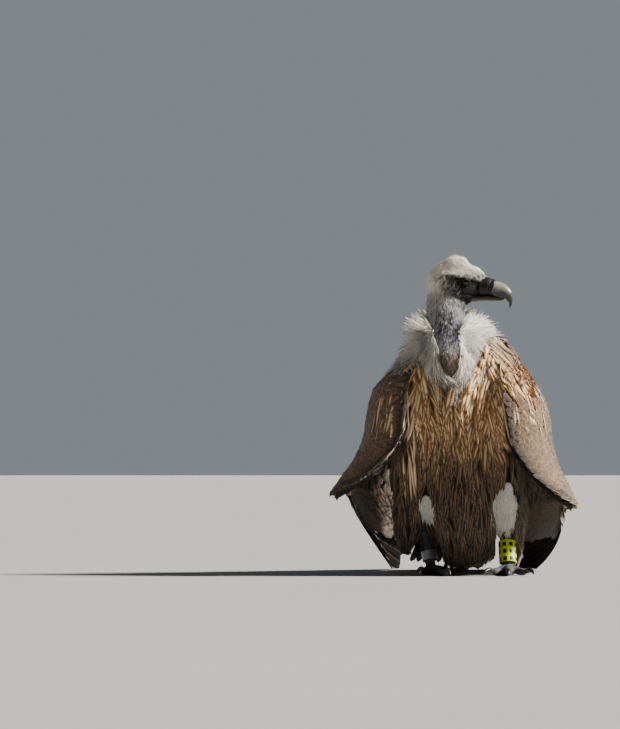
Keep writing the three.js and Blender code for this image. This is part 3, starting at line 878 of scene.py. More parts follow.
HEAD_ACROSS = (0, 1, 0)
CERE = [(50, 0, -3, 15, 18.2), (56, 0, -3.4, 14.7, 17.8), (62, 0, -4, 14.5, 17.5),
        (70, 0, -5.5, 13.2, 16.2), (76.5, 0, -7.2, 12, 14.6)]
BILL_UPPER = [(66, 0, -5.4, 10.4, 13), (75, 0, -7, 10.8, 13.4), (81, 0, -8.8, 11, 14),
              (91, 0, -12.2, 9.8, 13), (98.5, 0, -17.8, 8, 10.4), (102.6, 0, -24.5, 5.6, 6.8),
              (105.2, 0, -31.5, 3.2, 3.7), (103.8, 0, -42.5, 0.9, 1.1)]
BILL_LOWER = [(26, 0, -20, 10, 6), (40, 0, -22.6, 12.6, 7.8), (56, 0, -23, 12.4, 6.8),
              (74, 0, -23.6, 10, 5.5), (88, 0, -24.7, 7.2, 4.1), (95, 0, -25.6, 4.4, 2.2)]


def sharp_cutting_edge(c, s):
    """A bill's section: rounded on top, flat-sided, and cut nearly flat along the mouth."""
    up = np.where(s > 0, np.abs(s) ** 0.8, -np.abs(s) ** 0.55)
    return np.sign(c) * np.abs(c) ** 0.85 * (1 - 0.12 * (s > 0) * s), up


def head_piece(name, stations, material, node, around, along, caps, shape=None,
               forms=None, low=0.0):
    """A piece of the bill lofted in the head's frame; low is how much it darkens below."""
    points, faces, share, angle = loft(stations, around, along, HEAD_ACROSS, caps, shape)
    local = points / MM
    if forms is not None:
        local = forms(local, share, angle)
    mesh = mesh_of(name, from_head(local), faces)
    number_layer(mesh, "Along", share)
    number_layer(mesh, "Low", low * smooth(-np.sin(angle), -0.3, 0.5))
    unwrap(mesh)
    place(name, mesh, material, [node])


def upper_bill_forms(local, share, angle):
    """A ridge along the top, a groove along each side, and a wavy cutting edge."""
    x, y, z = local.T
    up = np.sin(angle)
    ridge = 0.7 * bell((y, 0, 2.6)) * (up > 0) * smooth(share, 0.1, 0.4)
    wave = 1.1 * np.sin(share * 9.0 + 0.6) * smooth(-up, 0.2, 0.8) * (share < 0.62)
    groove = 0.35 * bell((z, -17, 1.2)) * smooth(share, 0.06, 0.2) * (share < 0.6)
    y = y - np.sign(y) * groove
    return np.stack([x, y, z + ridge + wave], -1)


def cere_forms(local, share, angle):
    """A waxy skin with a tall slit of a nostril on each side and a swollen front edge."""
    x, y, z = local.T
    swell = 0.8 * bell((share, 0.9, 0.07)) - 0.5 * bell((share, 0.72, 0.06))
    wrinkle = 0.06 * np.sin(share * 44 + 3 * np.sin(angle * 2))
    slant = x - 68.6 - 0.35 * (z + 2.5)
    hole = np.exp(-((slant / 1.7) ** 4) - ((z + 2.5) / 5.2) ** 4)
    rim = np.exp(-((slant / 3.2) ** 4) - ((z + 2.5) / 7.2) ** 4) - hole
    out = unit(np.stack([0 * x, y, z + 5.0], -1))
    move = swell + wrinkle + 0.8 * rim - 3.4 * hole * (np.abs(y) > 6)
    return local + out * move[:, None]


def make_bill():
    horn_stops = ((0.0, srgb(92, 93, 88)), (0.2, srgb(146, 147, 136)), (0.46, srgb(110, 111, 102)),
                  (0.7, srgb(36, 36, 37)), (1.0, srgb(14, 14, 16)))
    horn = bill_material("bill_horn", horn_stops, 0.34)
    lower_stops = ((0.0, srgb(22, 22, 24)), (0.55, srgb(30, 30, 32)), (1.0, srgb(44, 44, 42)))
    lower = bill_material("bill_lower_horn", lower_stops, 0.4, worn=0.06, wet=0.1)
    # The cere is near black; the light bluish grey at its front end is a painted highlight on its
    # swollen front edge.
    waxy_stops_with_highlight = ((0.0, srgb(16, 16, 18)), (0.5, srgb(12, 12, 15)), (0.9, srgb(16, 17, 21)),
                  (1.0, srgb(70, 72, 76)))
    waxy = bill_material("cere_skin", waxy_stops_with_highlight, 0.5, 0.0, 0.03, 0.1)
    head_piece("bill_upper_horn", BILL_UPPER, horn, "bill_upper", 72, 110,
               (0.03, 0.1), sharp_cutting_edge, upper_bill_forms, 0.62)
    head_piece("bill_lower_horn", BILL_LOWER, lower, "bill_lower", 48, 60, (0.05, 0.2))
    head_piece("cere_skin", CERE, waxy, "cere", 96, 70, (0.05, 0.05),
               None, cere_forms)


def eye_material():
    """A dark pupil, a brown iris with fine fibres and a black rim, under a clear coat."""
    look = Look("eye", roughness=0.05, specular=0.4)
    edge = look.step(look.number("Off"), 0.40, 0.46)
    fibre = look.noise(900.0, 4.0)
    iris = look.blend(fibre, srgb(20, 13, 9), srgb(64, 42, 25))
    colour = look.blend(edge, (0.002, 0.002, 0.002), iris)
    limbus = look.step(look.number("Off"), 0.62, 0.8)
    colour = look.blend(limbus, colour, (0.012, 0.01, 0.009))
    look.fix(look.shader, {"Coat Weight": 0.4, "Coat Roughness": 0.02})
    look.bump(fibre, 0.05, 0.0002)
    return look.base(colour)


def make_eyes():
    """Each eye is a ball with a slightly bulging clear front, looking out and a little ahead."""
    material = eye_material()
    rings, around = 40, 56
    polar = np.linspace(0, np.pi, rings + 1)[1:-1]
    turn = np.linspace(0, 2 * np.pi, around, endpoint=False)
    p, q = np.meshgrid(polar, turn, indexing="ij")
    radius = EYE_RADIUS - 0.15
    r = radius * (1 + 0.07 * bell((p, 0, 0.5))) * 0.955
    x, y, z = r * np.sin(p) * np.cos(q), r * np.cos(p), r * np.sin(p) * np.sin(q)
    for name, side in (("left", 1), ("right", -1)):
        ends = [[0, radius * 1.07 * 0.955 * side, 0], [0, -radius * 0.955 * side, 0]]
        ball = np.concatenate([np.stack([x, y * side, z], -1).reshape(-1, 3), ends])
        ball = turned(ball, -side * math.radians(12))
        faces = [face[::side] for face in tube_faces(rings - 1, around)]
        mesh = mesh_of("eyeball_" + name, from_head(ball + [EYE[0], side * EYE[1], EYE[2]]), faces)
        number_layer(mesh, "Off", np.concatenate([(np.sin(p) + (p > 1.57) * 9).ravel(), [0, 9]]))
        unwrap(mesh)
        place("eyeball_" + name, mesh, material, ["eye_" + name])


def make_claws():
    """A curved talon at the end of each toe."""
    stops = ((0.0, srgb(52, 50, 50)), (0.4, srgb(30, 29, 30)), (1.0, srgb(58, 54, 50)))
    material = bill_material("claw_horn", stops, 0.32)
    for foot, name in ((LEFT_FOOT, "left"), (RIGHT_FOOT, "right")):
        for toe, (turn, length, radius) in TOES.items():
            end = -length
            stations = [(0, end + radius / 2, 7.5, 4.6, 5.2), (0, end - 0.3 * CLAW, 10, 4, 4.8),
                        (0, end - 0.7 * CLAW, 8.2, 2.8, 3.4), (0, end - 0.96 * CLAW, 3, 1, 1.3)]
            points, faces, share, _ = loft(stations, 28, 34, caps=(0.1, 0.12))
            mesh = mesh_of("talon", foot.out(points / MM, turn), faces)
            number_layer(mesh, "Along", share)
            number_layer(mesh, "Low", 0 * share)
            unwrap(mesh)
            place(f"talon_{name}_{toe}", mesh, material, [f"claw_{name}_{toe}"])


METAL_RING = {"inner": 11.6, "outer": 13.6, "low": 26, "height": 17}
PLASTIC_RING = {"inner": 13.2, "outer": 15.6, "low": 21, "height": 40}


def ring_points(ring, foot):
    """A hollow sleeve round the tarsus, with rounded rims; gives angle and height layers."""
    around = 96
    low = np.array([*foot.base[:2], 12.0])
    high = np.array(foot.ankle, float)
    axis = unit(high - low)
    across = unit(np.cross(axis, [0, 1, 0]))
    ahead = np.cross(across, axis)
    wall = (ring["outer"] - ring["inner"]) / 2
    mid = (ring["outer"] + ring["inner"]) / 2
    h, r = ring["height"], 0.5
    section = []
    for cx, cz, start in ((wall - r, h - r, 0), (-wall + r, h - r, 90), (-wall + r, r, 180),
                          (wall - r, r, 270)):
        for k in range(5):
            a = math.radians(start + k * 22.5)
            section.append((cx + r * math.cos(a), cz + r * math.sin(a)))
        if start == 90:
            section += [(-wall, h * 0.66), (-wall, h * 0.33)]
        if start == 270:
            section += [(wall, h * f) for f in (0.2, 0.35, 0.5, 0.65, 0.8)]
    section = np.array(section)
    angle = np.linspace(0, 2 * np.pi, around, endpoint=False)
    radius = mid + section[:, 0]
    way = np.cos(angle)[:, None] * across + np.sin(angle)[:, None] * ahead
    rise = (ring["low"] - 12) / axis[2]
    middle = low + axis * (rise + section[:, 1:2])
    points = middle[None] + way[:, None] * radius[None, :, None]
    n = len(section)
    faces = [[a, d, c, b] for a, b, c, d in grid_faces(around, n, closed=True)]
    height = np.tile(section[:, 1] / h, around)
    return points.reshape(-1, 3) * MM, faces, np.repeat(angle, n), height


def plastic_material():
    """Yellow plastic with plain bars in three bands round the ring: marks that say nothing."""
    look = Look("yellow_plastic", roughness=0.36, specular=0.5)
    colour = look.blend(look.noise(60.0, 4.0), srgb(196, 214, 24), srgb(232, 240, 52))
    column = look.maths("FRACT", look.times(look.number("Angle"), 8 / 6.2832))
    row = look.maths("FRACT", look.times(look.number("Height"), 3.0))
    tall = look.times(look.step(column, 0.14, 0.17), look.fall(column, 0.72, 0.75))
    wide = look.times(look.step(row, 0.1, 0.13), look.fall(row, 0.64, 0.67))
    bar = look.times(tall, wide)
    colour = look.blend(bar, colour, (0.015, 0.015, 0.012))
    grime = look.times(look.step(look.noise(240.0, 5.0), 0.56, 0.8), 0.35)
    look.bump(look.line(bar, -0.6, look.noise(500.0)), 0.3, 0.0004)
    return look.base(look.blend(grime, colour, (0.09, 0.08, 0.05)))


def alloy_material():
    look = Look("ring_alloy", roughness=0.38, specular=0.5)
    look.fix(look.shader, {"Metallic": 1.0})
    scratch = look.noise(900.0, 6.0)
    look.bump(scratch, 0.3, 0.0003)
    worn = look.step(scratch, 0.4, 0.7)
    return look.base(look.blend(worn, (0.42, 0.44, 0.47), (0.7, 0.72, 0.75)))


def make_rings():
    """The wide plastic ring on the left leg and the narrow metal one on the right."""
    for name, ring, foot, material in (
            ("ring_plastic", PLASTIC_RING, LEFT_FOOT, plastic_material()),
            ("ring_metal", METAL_RING, RIGHT_FOOT, alloy_material())):
        points, faces, angle, height = ring_points(ring, foot)
        mesh = mesh_of(name + "_sleeve", points, faces)
        number_layer(mesh, "Angle", angle)
        number_layer(mesh, "Height", height)
        unwrap(mesh)
        place(name + "_sleeve", mesh, material, [name])

# ------------------------------------------------------------------ feathers

PATCH = 0.003  # how wide one feather's place is on the skin's unwrap
LANCE = (np.array([0, 0.22, 0.48, 0.72, 0.9, 1]), np.array([0.3, 0.8, 1.0, 0.84, 0.48]))
ROUND = (np.array([0, 0.3, 0.6, 0.84, 0.96, 1]), np.array([0.45, 0.9, 1.0, 0.9, 0.55]))
WISP = (np.array([0, 0.35, 0.7, 1]), np.array([0.6, 1.0, 0.7]))


class Plumage:
    """The feathers of one piece: thin closed vanes, gathered and joined into one mesh."""

    def __init__(self):
        self.batches = []

    def add(self, centres, normals, half, thick, core, rim, shaft, root_uv, shape, cup=0.25):
        """Adds n feathers. centres and normals are n by stations by 3, the tip the last one."""
        v, profile = shape
        n, stations = len(centres), len(v) - 1
        along = unit(np.gradient(centres, axis=1))
        right = unit(np.cross(along, normals))
        up = np.cross(right, along)
        wide = np.asarray(half).reshape(-1, 1) * profile
        wide = wide * RNG.uniform(0.9, 1.1, wide.shape)
        high = np.broadcast_to(np.asarray(thick, float).reshape(-1, 1), (n, 1))
        high = high * (0.35 + 0.65 * profile)
        c, r, u = centres[:, :-1], right[:, :-1] * wide[..., None], up[:, :-1]
        drop = u * (cup * wide)[..., None]
        rows = np.stack([c - r - drop, c + u * high[..., None], c + r - drop], axis=2)
        points = np.concatenate([rows.reshape(n, -1, 3), centres[:, -1:]], axis=1)
        across = np.concatenate([np.tile([0, 0.5, 1], stations), [0.5]])
        length = np.concatenate([np.repeat(v[:-1], 3), [1]])
        vane = np.broadcast_to(np.stack([across, length], -1), (n, len(across), 2))
        bake = root_uv[:, None] + (vane - 0.5) * PATCH
        # 0 is a point on the ridge, 1 and 2 lie on the two edges, and 3 is the tip.
        kind = np.concatenate([np.tile([1, 0, 2], stations), [3]])
        size = len(across)
        quads, triangles = [], [[0, 2, 1]]
        for s in range(stations - 1):
            a, b = 3 * s, 3 * s + 3
            quads += [[a, a + 1, b + 1, b], [a + 1, a + 2, b + 2, b + 1], [a + 2, a, b, b + 2]]
        a, tip = 3 * stations - 3, size - 1
        triangles += [[a, a + 1, tip], [a + 1, a + 2, tip], [a + 2, a, tip]]

        def spread(values):
            rows = np.asarray(values, float).reshape(n, 1, -1)
            return np.broadcast_to(rows, (n, size, rows.shape[2]))

        start = np.arange(n)[:, None, None] * size
        self.batches.append({
            "points": points.reshape(-1, 3),
            "vane": vane.reshape(-1, 2),
            "bake": bake.reshape(-1, 2),
            "kind": np.tile(kind, n),
            "core": spread(core).reshape(-1, 3),
            "rim": spread(rim).reshape(-1, 3),
            "shaft": spread(np.broadcast_to(shaft, n)).ravel(),
            "quads": (np.array(quads).reshape(1, -1, 4) + start).reshape(-1, 4),
            "triangles": (np.array(triangles)[None] + start).reshape(-1, 3),
        })

    def count(self):
        return sum(2 * len(b["quads"]) + len(b["triangles"]) for b in self.batches)

    def mesh(self, name, sharp=True):
        offsets = np.cumsum([0] + [len(b["points"]) for b in self.batches])
        whole = {key: np.concatenate([b[key] for b in self.batches])
                 for key in ("points", "vane", "bake", "kind", "core", "rim", "shaft")}
        quads, triangles = (
            np.concatenate([b[key] + o for b, o in zip(self.batches, offsets)])
            for key in ("quads", "triangles"))
        corner = np.concatenate([quads.ravel(), triangles.ravel()]).astype(np.int32)
        starts = np.concatenate([np.arange(len(quads)) * 4,
                                 quads.size + np.arange(len(triangles)) * 3]).astype(np.int32)
        mesh = bpy.data.meshes.new(name)
        mesh.vertices.add(len(whole["points"]))
        mesh.loops.add(len(corner))
        mesh.polygons.add(len(starts))
        mesh.vertices.foreach_set("co", whole["points"].ravel())
        mesh.loops.foreach_set("vertex_index", corner)
        mesh.polygons.foreach_set("loop_start", starts)
        mesh.update(calc_edges=True)
        mesh.shade_smooth()
        feather_layers(mesh, *(whole[key] for key in ("bake", "vane", "core", "rim", "shaft")))
        if sharp:
            ends = whole["kind"][mesh_edges(mesh)]
            low, high = ends.min(1), ends.max(1)
            hard = ((low == high) & (low > 0) & (low < 3)) | ((high == 3) & (low > 0))
            layer = mesh.attributes.new("sharp_edge", "BOOLEAN", "EDGE")
            layer.data.foreach_set("value", hard)
        return mesh

    def done(self, name, slot, material, sharp=True):
        print(name, self.count(), "triangles")
        place(name, self.mesh(name, sharp), material)


class SkinSamples:
    """The skin as triangles, to scatter roots over parts of it."""

    def __init__(self, mesh, owner):
        mesh.calc_loop_triangles()
        corner, loops = (rows_of(mesh.loop_triangles, key, 3, np.int32)
                         for key in ("vertices", "loops"))
        self.uv = rows_of(mesh.uv_layers["OFBake"].data, "uv", 2)[loops]
        self.points = mesh_points(mesh)[corner]
        self.normals = mesh_normals(mesh)[corner]
        self.owner = owner[corner[:, 0]]
        self.centres = self.points.mean(1)
        a, b = self.points[:, 1] - self.points[:, 0], self.points[:, 2] - self.points[:, 0]
        self.area = np.linalg.norm(np.cross(a, b), axis=1) / 2

    def scatter(self, where, spacing, crowd=4.0, thinned=True):
        """Roots about spacing apart on the triangles where is true, or a number of them."""
        chance = self.area * where
        total = chance.sum()
        wanted = int(total / spacing**2 * (crowd if thinned else 1))
        pick = RNG.choice(len(chance), wanted, p=chance / total)
        a, b = RNG.random(wanted), RNG.random(wanted)
        a, b = np.where(a + b > 1, 1 - a, a), np.where(a + b > 1, 1 - b, b)
        share = np.stack([1 - a - b, a, b], -1)[..., None]
        points = (self.points[pick] * share).sum(1)
        if thinned:
            keep = thinned_out(points, spacing)
            pick, share, points = pick[keep], share[keep], points[keep]
        normals = unit((self.normals[pick] * share).sum(1))
        return points, normals, (self.uv[pick] * share).sum(1)


def thinned_out(points, spacing):
    """Indices of the points that are kept so that none is nearer to another than spacing."""
    cells = np.floor(points / spacing).astype(int)
    kept, taken = [], {}
    near = [(i, j, k) for i in (-1, 0, 1) for j in (-1, 0, 1) for k in (-1, 0, 1)]
    limit = spacing * spacing
    rows, keys = points.tolist(), [tuple(c) for c in cells.tolist()]
    for index, (p, key) in enumerate(zip(rows, keys)):
        for i, j, k in near:
            for q in taken.get((key[0] + i, key[1] + j, key[2] + k), ()):
                if (p[0] - q[0]) ** 2 + (p[1] - q[1]) ** 2 + (p[2] - q[2]) ** 2 < limit:
                    break
            else:
                continue
            break
        else:
            taken.setdefault(key, []).append(p)
            kept.append(index)
    return np.array(kept)


def laid(roots, normals, ways, lengths, v, low, high, cling, curl, tree=skin_tree):
    """Centre lines over a surface from each root along its way, rising from low to high.

    cling is how closely they follow the skin, and curl is how late they rise."""
    n = len(roots)
    lengths = np.broadcast_to(lengths, n)
    low, high = np.broadcast_to(low, n), np.broadcast_to(high, n)
    cling = np.broadcast_to(np.asarray(cling, float), n)[:, None]
    centres, ups = [roots + normals * low[:, None]], [normals]
    at, up = roots, normals
    heading = flat_to(normals, ways)
    for k in range(1, len(v)):
        step = lengths * (v[k] - v[k - 1])
        free = at + unit(heading * cling + ways * (1 - cling)) * step[:, None]
        spots, tops = [], []
        for p in free.tolist():
            spot, top, _, _ = tree.find_nearest(p)
            spots.append(spot[:])
            tops.append(top[:])
        spots, tops = np.array(spots), np.array(tops)
        over = np.maximum(np.sum((free - spots) * tops, -1), 0)[:, None]
        at = spots + tops * over * (1 - cling)
        up = unit(up + tops * 0.8)
        lift = (low + (high - low) * v[k] ** curl)[:, None]
        centres.append(at + up * lift)
        ups.append(up)
        heading = flat_to(tops, unit(heading * 0.6 + flat_to(tops, ways) * 0.4))
    return np.stack(centres, 1), np.stack(ups, 1)


def strewn(ways, amount):
    return unit(ways + RNG.normal(size=ways.shape) * amount)


def picked(pale, dark, share, points, size, seed):
    """For each feather, its pale or its dark colour, in small groups rather than one by one."""
    share = np.asarray(share)
    level = 0.5 + 0.24 * wobble(points, size, seed) + RNG.normal(size=len(points)) * 0.15
    return mix(pale, dark, np.where(share > 0.85, 1, smooth(share - level, -0.12, 0.12)))


def varied(colours, amount=0.12):
    return colours * (1 + RNG.normal(size=(len(colours), 1)) * amount)


def standing(roots, normals, ways, stand, strew, length, sag, sunk=0.4, v=WISP[0]):
    """Centre lines of down that stands free of the skin and sags under its own weight.

    It is rooted sunk millimetres deep, and is more upright the larger stand is."""
    ways = strewn(flat_to(normals, ways) + normals * stand[:, None], strew)
    reach = length[:, None, None] * v[None, :, None]
    fall = np.array([0, 0, -1.0]) * sag[:, None, None] * (v**2)[None, :, None]
    up = unit(np.cross(unit(np.cross(ways, normals)), ways))
    starts = roots - normals * sunk * MM
    return starts[:, None] + ways[:, None] * reach + fall, np.repeat(up[:, None], len(v), 1)


def alike(row, roots):
    """The same row of numbers for each of the roots."""
    return np.tile(row, (len(roots), 1))


def on_envelope(points):
    return np.array([envelope_tree.find_nearest(p)[0][:] for p in points.tolist()])


THICK, COVERT_THICK = 0.9 * MM, 0.8 * MM  # how high a feather's ridge stands over its edges
samples = SkinSamples(skin, skin_owner)


def head_coat(plumage, crown):
    """Short bristly down: longest on the crown, next to none round the eye.

    crown says whether it is the upper half of the head or the face, cheeks and throat."""
    x, y, z = to_head(samples.centres).T
    near_eye = np.hypot((x - EYE[0]) / 1.25, z - EYE[2])
    bare = smooth(near_eye, 8, 13) * (1 - 0.4 * smooth(x, 36, 46) * (z < 10))
    upper = z > 15 - 0.15 * (x - 10)
    where = is_part(samples.owner, "head") * (0.02 + bare) * (x < 61) * (upper == crown)
    roots, normals, uv = samples.scatter(where, 0.00088 if crown else 0.00095, thinned=False)
    x, y, z = to_head(roots).T
    pale, dark, share = head_marks(roots)
    top = smooth(z, 18, 40)
    back = smooth(-x, -2, 30)
    ways = np.stack([-0.75 - 0.1 * top + 0 * x, 0.35 * np.sign(y) * smooth(np.abs(y), 4, 24),
                     -0.45 + 0.35 * top - 0.9 * back * (1 - top)], -1)
    ways = turned(unit(ways), HEAD_YAW)
    mask = smooth(share, 0.6, 0.95)
    crest = bell((x, 18, 20)) * smooth(z, 26, 44)
    brow = smooth(x, 20, 40) * smooth(z, 8, 18)
    length = 5.6 + 1.5 * top + 6.5 * crest + 1.5 * back + 1.6 * brow
    length = length * (1 - 0.5 * mask)
    length = length * (RNG.uniform(0.6, 1.3, len(x)) + 0.5 * crest * RNG.random(len(x)) ** 4) * MM
    stand = 0.2 + 1.0 * crest + 0.35 * brow + RNG.uniform(0, 0.14, len(x))
    stand = stand * (1 - 0.4 * mask)
    centres, ups = standing(roots, normals, ways, stand, 0.15, length, length * 0.12)
    colour = picked(pale, dark, share, roots, 0.006, 3)
    colour = colour * (1 + (mask * RNG.uniform(-0.5, 1.6, len(x)))[:, None])
    half = (0.26 + 0.07 * back + 0.05 * crest - 0.06 * mask) * MM * RNG.uniform(0.7, 1.25, len(x))
    plumage.add(centres, ups, half, half * 0.9, varied(colour, 0.1), colour, 0, uv, WISP, cup=0.3)


def neck_coat(plumage):
    """Thin down that shows the bluish skin, and brown scale-like feathers over the crop."""
    where = is_part(samples.owner, "neck") & ~ruffed(samples.centres, samples.owner)
    roots, normals, uv = samples.scatter(where, 0.00122, thinned=False)
    pale, dark, share = neck_marks(roots)
    patch = crop_patch(roots)
    ways = alike([0.06, 0.0, -1.0], roots)
    length = (8 + 2 * patch) * RNG.uniform(0.7, 1.35, len(roots)) * MM
    stand = 0.16 + RNG.uniform(0, 0.16, len(roots))
    centres, ups = standing(roots, normals, ways, stand, 0.16, length, length * 0.1)
    colour = picked(pale, dark, share, roots, 0.007, 5)
    half = (0.36 + 0.3 * patch) * MM * RNG.uniform(0.7, 1.25, len(roots))
    plumage.add(centres, ups, half, half * 0.7, varied(colour, 0.1), colour, 0, uv, WISP, cup=0.3)


def ruff_ways(points):
    """Out and down from the neck, and inwards to the point of the V low in front."""
    x, y, z = (points / MM).T
    out = unit(np.stack([x + 12, y + 40, 0 * z], -1))
    high = smooth(z, 400, 446)
    low = 1 - smooth(z, 345, 395)
    front = smooth(-y, 20, 70)
    ways = out * (0.25 + 0.75 * high)[:, None]
    ways[:, 2] += -0.9 + 1.5 * high
    ways[:, 0] -= front * low * 0.8 * np.tanh((x + 2) / 22)
    ways[:, 1] -= 0.2 * front
    return unit(ways)


def ruff_coat(plumage, bed):
    """The ruff: a bed of down, and plumes that lie over it and stand up behind the neck."""
    spacing, length, half = (0.0019, 19, 0.4) if bed else (0.0022, 46, 0.66)
    where = ruffed(samples.centres, samples.owner)
    roots, normals, uv = samples.scatter(where, spacing, thinned=False)
    x, _, z = (roots / MM).T
    pale, dark, share = ruff_marks(roots)
    ways = ruff_ways(roots)
    high = smooth(z, 400, 446)
    size = length * RNG.uniform(0.6, 1.2, len(x)) * MM * (1 - 0.55 * smooth(-z, -384, -346))
    wide = half * MM * RNG.uniform(0.6, 1.3, len(x))
    shape = WISP if bed else LANCE
    if bed:
        stand = 0.5 + 0.3 * high
        centres, ups = standing(roots, normals, ways, stand, 0.22, size, size * 0.2, 1.0)
    else:
        rise = (5 + 11 * RNG.random(len(x))) * MM
        ways = strewn(ways, 0.12)
        lie, lie_ups = laid(roots, normals, ways, size, shape[0], 0.5 * MM, rise, 0.8, 1.3)
        stand = 0.3 + 0.35 * high
        up, up_ups = standing(roots, normals, ways, stand, 0.1, size * 0.92, size * 0.12, 1.0,
                              shape[0])
        share_up = high[:, None, None]
        centres = lie * (1 - share_up) + up * share_up
        ups = unit(lie_ups * (1 - share_up) + up_ups * share_up)
    colour = picked(pale, dark, share, roots, 0.016, 8)
    plumage.add(centres, ups, wide, wide * 0.6, varied(colour, 0.12), colour, 0.1, uv, shape)


def body_ways(points):
    """Down the body, and backwards on its rear, with two partings on the breast."""
    x, y, z = (points / MM).T
    front = smooth(-y, -20, 20)
    upper = smooth(z, 250, 340)
    ways = np.zeros_like(points)
    ways[:, 2] = -1
    ways[:, 1] = 0.15 + 0.65 * smooth(y, 30, 90)
    inner = np.tanh(x / 24) * (1 - smooth(np.abs(x), 50, 85))
    ways[:, 0] = front * upper * (-0.42 * inner + 0.4 * np.sign(x) * smooth(np.abs(x), 70, 105))
    ways[:, 0] += 0.17 * wobble(points, 0.045, 21)
    return unit(ways)


def clear_of_thighs(centres):
    """Which feathers leave the thighs in view."""
    between = np.concatenate([centres, (centres[:, 1:] + centres[:, :-1]) / 2], axis=1)
    return ~in_opening(between, RNG.uniform(0.45, 1.15, (len(centres), 1))).any(1)


def locked(roots, normals, ways, size, apart):
    """Turns feathers towards the middle of their lock; gives the ways and each lock's number."""
    middles = roots[thinned_out(roots, apart)]
    lock = np.concatenate([np.argmin(((part[:, None] - middles[None]) ** 2).sum(-1), axis=1)
                           for part in np.array_split(roots, max(1, len(roots) // 500))])
    aside = middles[lock] - roots
    for way in (normals, ways):
        aside = aside - way * np.sum(aside * way, -1, keepdims=True)
    return unit(ways + aside / size[:, None] * 0.85), lock


def body_coat(plumage, where, spacing, length, half, shape, rise=8.0, low_cling=0.8, strew=0.08,
              bridging=False):
    """Feathers over the body; bridging ones lie on the loose surface that spans the grooves."""
    roots, normals, uv = samples.scatter(where, spacing)
    streak, side = body_marks(roots)
    ways = strewn(body_ways(roots), strew)
    under = smooth(-normals[:, 2], 0.1, 0.6)
    n = len(roots)
    size = length * RNG.uniform(0.7, 1.3, n) * MM
    ways, lock = locked(roots, normals, ways, size, 0.021)
    bulk, tint = RNG.random(n)[lock], RNG.normal(size=n)[lock]
    high = MM * (rise * (0.3 + 0.7 * bulk) + RNG.uniform(0, 3, n))
    cling = 1 - (1 - low_cling) * np.maximum(under, 0.3)
    if bridging:
        centres, ups = laid(on_envelope(roots), normals, ways, size, shape[0], -7 * MM,
                            high - 8 * MM, 0.9, 1.2, envelope_tree)
    else:
        centres, ups = laid(roots, normals, ways, size, shape[0], 0.6 * MM, high, cling, 1.2)
    centres[:, :, 2] = np.maximum(centres[:, :, 2], 2 * MM)
    wide = half * MM * RNG.uniform(0.7, 1.25, n)
    patchy = 1 + 0.18 * wobble(roots, 0.05, 11)[:, None] + 0.14 * tint[:, None]
    core, rim = varied(streak, 0.16) * patchy, varied(side, 0.2) * patchy
    keep = clear_of_thighs(centres)
    plumage.add(centres[keep], ups[keep], wide[keep], THICK, core[keep], rim[keep], 0.35,
                uv[keep], shape)


def cape_coat(plumage):
    """Long feathers from the sides of the breast that drape over the front of the wings."""
    x, y, z = (samples.centres / MM).T
    reach = np.abs(x + 4)
    # The left shoulder is covered down to a slanting line; below it, and on the right one,
    # only strands lie over the wing.
    line = 366 - 1.6 * (128 - np.minimum(x, 128))
    left = (x > 0) * (smooth(z - line, -8, 6) + 0.1 * smooth(z - line, -30, -10))
    right = (x < 0) * (smooth(z, 352, 368) + 0.16 * smooth(z, 322, 340) * (reach < 104))
    where = is_part(samples.owner, "trunk", "collar", "wing") * smooth(reach, 52, 66)
    top = 1 - smooth(z, np.where(x > 0, 412, 360), np.where(x > 0, 424, 378))
    where = where * (left + right) * top * (y < 40)
    roots, normals, uv = samples.scatter(where, 0.0047, crowd=2.2)
    x, y, z = (roots / MM).T
    lean = np.where(x > 0, 0.3 + 0.45 * smooth(x, 60, 120), -0.22)
    ways = strewn(unit(np.stack([lean, 0 * x, -0.85 + 0 * x], -1)), 0.1)
    size = RNG.uniform(46, 76, len(x)) * MM * np.where(x > 0, 1, 0.85)
    rise = RNG.uniform(-1, 4, len(x)) * MM
    roots = on_envelope(roots)
    centres, ups = laid(roots, normals, ways, size, LANCE[0], -4 * MM, rise, 0.9, 1.0,
                        envelope_tree)
    streak, side = body_marks(roots)
    outer = smooth(np.abs(x), 70, 120)
    pale = mix(streak, srgb(238, 216, 182), 0.8 * outer)
    brown = mix(side, srgb(196, 160, 118), 0.8 * outer)
    upper = 0.85 * smooth(z, 384, 402) * (x > 0)
    pale, brown = mix(pale, srgb(150, 112, 80), upper), mix(brown, srgb(66, 46, 32), upper)
    plumage.add(centres, ups, RNG.uniform(3.8, 6.2, len(x)) * MM, THICK, varied(pale, 0.14),
                varied(brown, 0.18), 0.35, uv, LANCE)


def long_plumes(plumage):
    """Pale narrow plumes that hang from the sides of the breast over the fronts of the wings."""
    x, y, z = (samples.centres / MM).T
    right = (x < -80) * (x > -110) * (z > 215) * (z < 350)
    left = (x > 88) * (x < 108) * (z > 315) * (z < 350)
    where = is_part(samples.owner, "trunk", "wing") * (right + 0.5 * left) * (y < -40)
    roots, normals, uv = samples.scatter(where, 0.013)
    ways = strewn(alike([0.0, 0.0, -1.0], roots), 0.09)
    size = RNG.uniform(60, 115, len(roots)) * MM
    rise = RNG.uniform(2, 6, len(roots)) * MM
    centres, ups = laid(on_envelope(roots), normals, ways, size, LANCE[0], 0.5 * MM, rise, 0.92,
                        1.0, envelope_tree)
    pale, brown = (alike(srgb(*rgb), roots) for rgb in ((236, 214, 180), (190, 156, 118)))
    plumage.add(centres, ups, RNG.uniform(2.4, 3.8, len(roots)) * MM, THICK, varied(pale),
                varied(brown), 0.3, uv, LANCE)


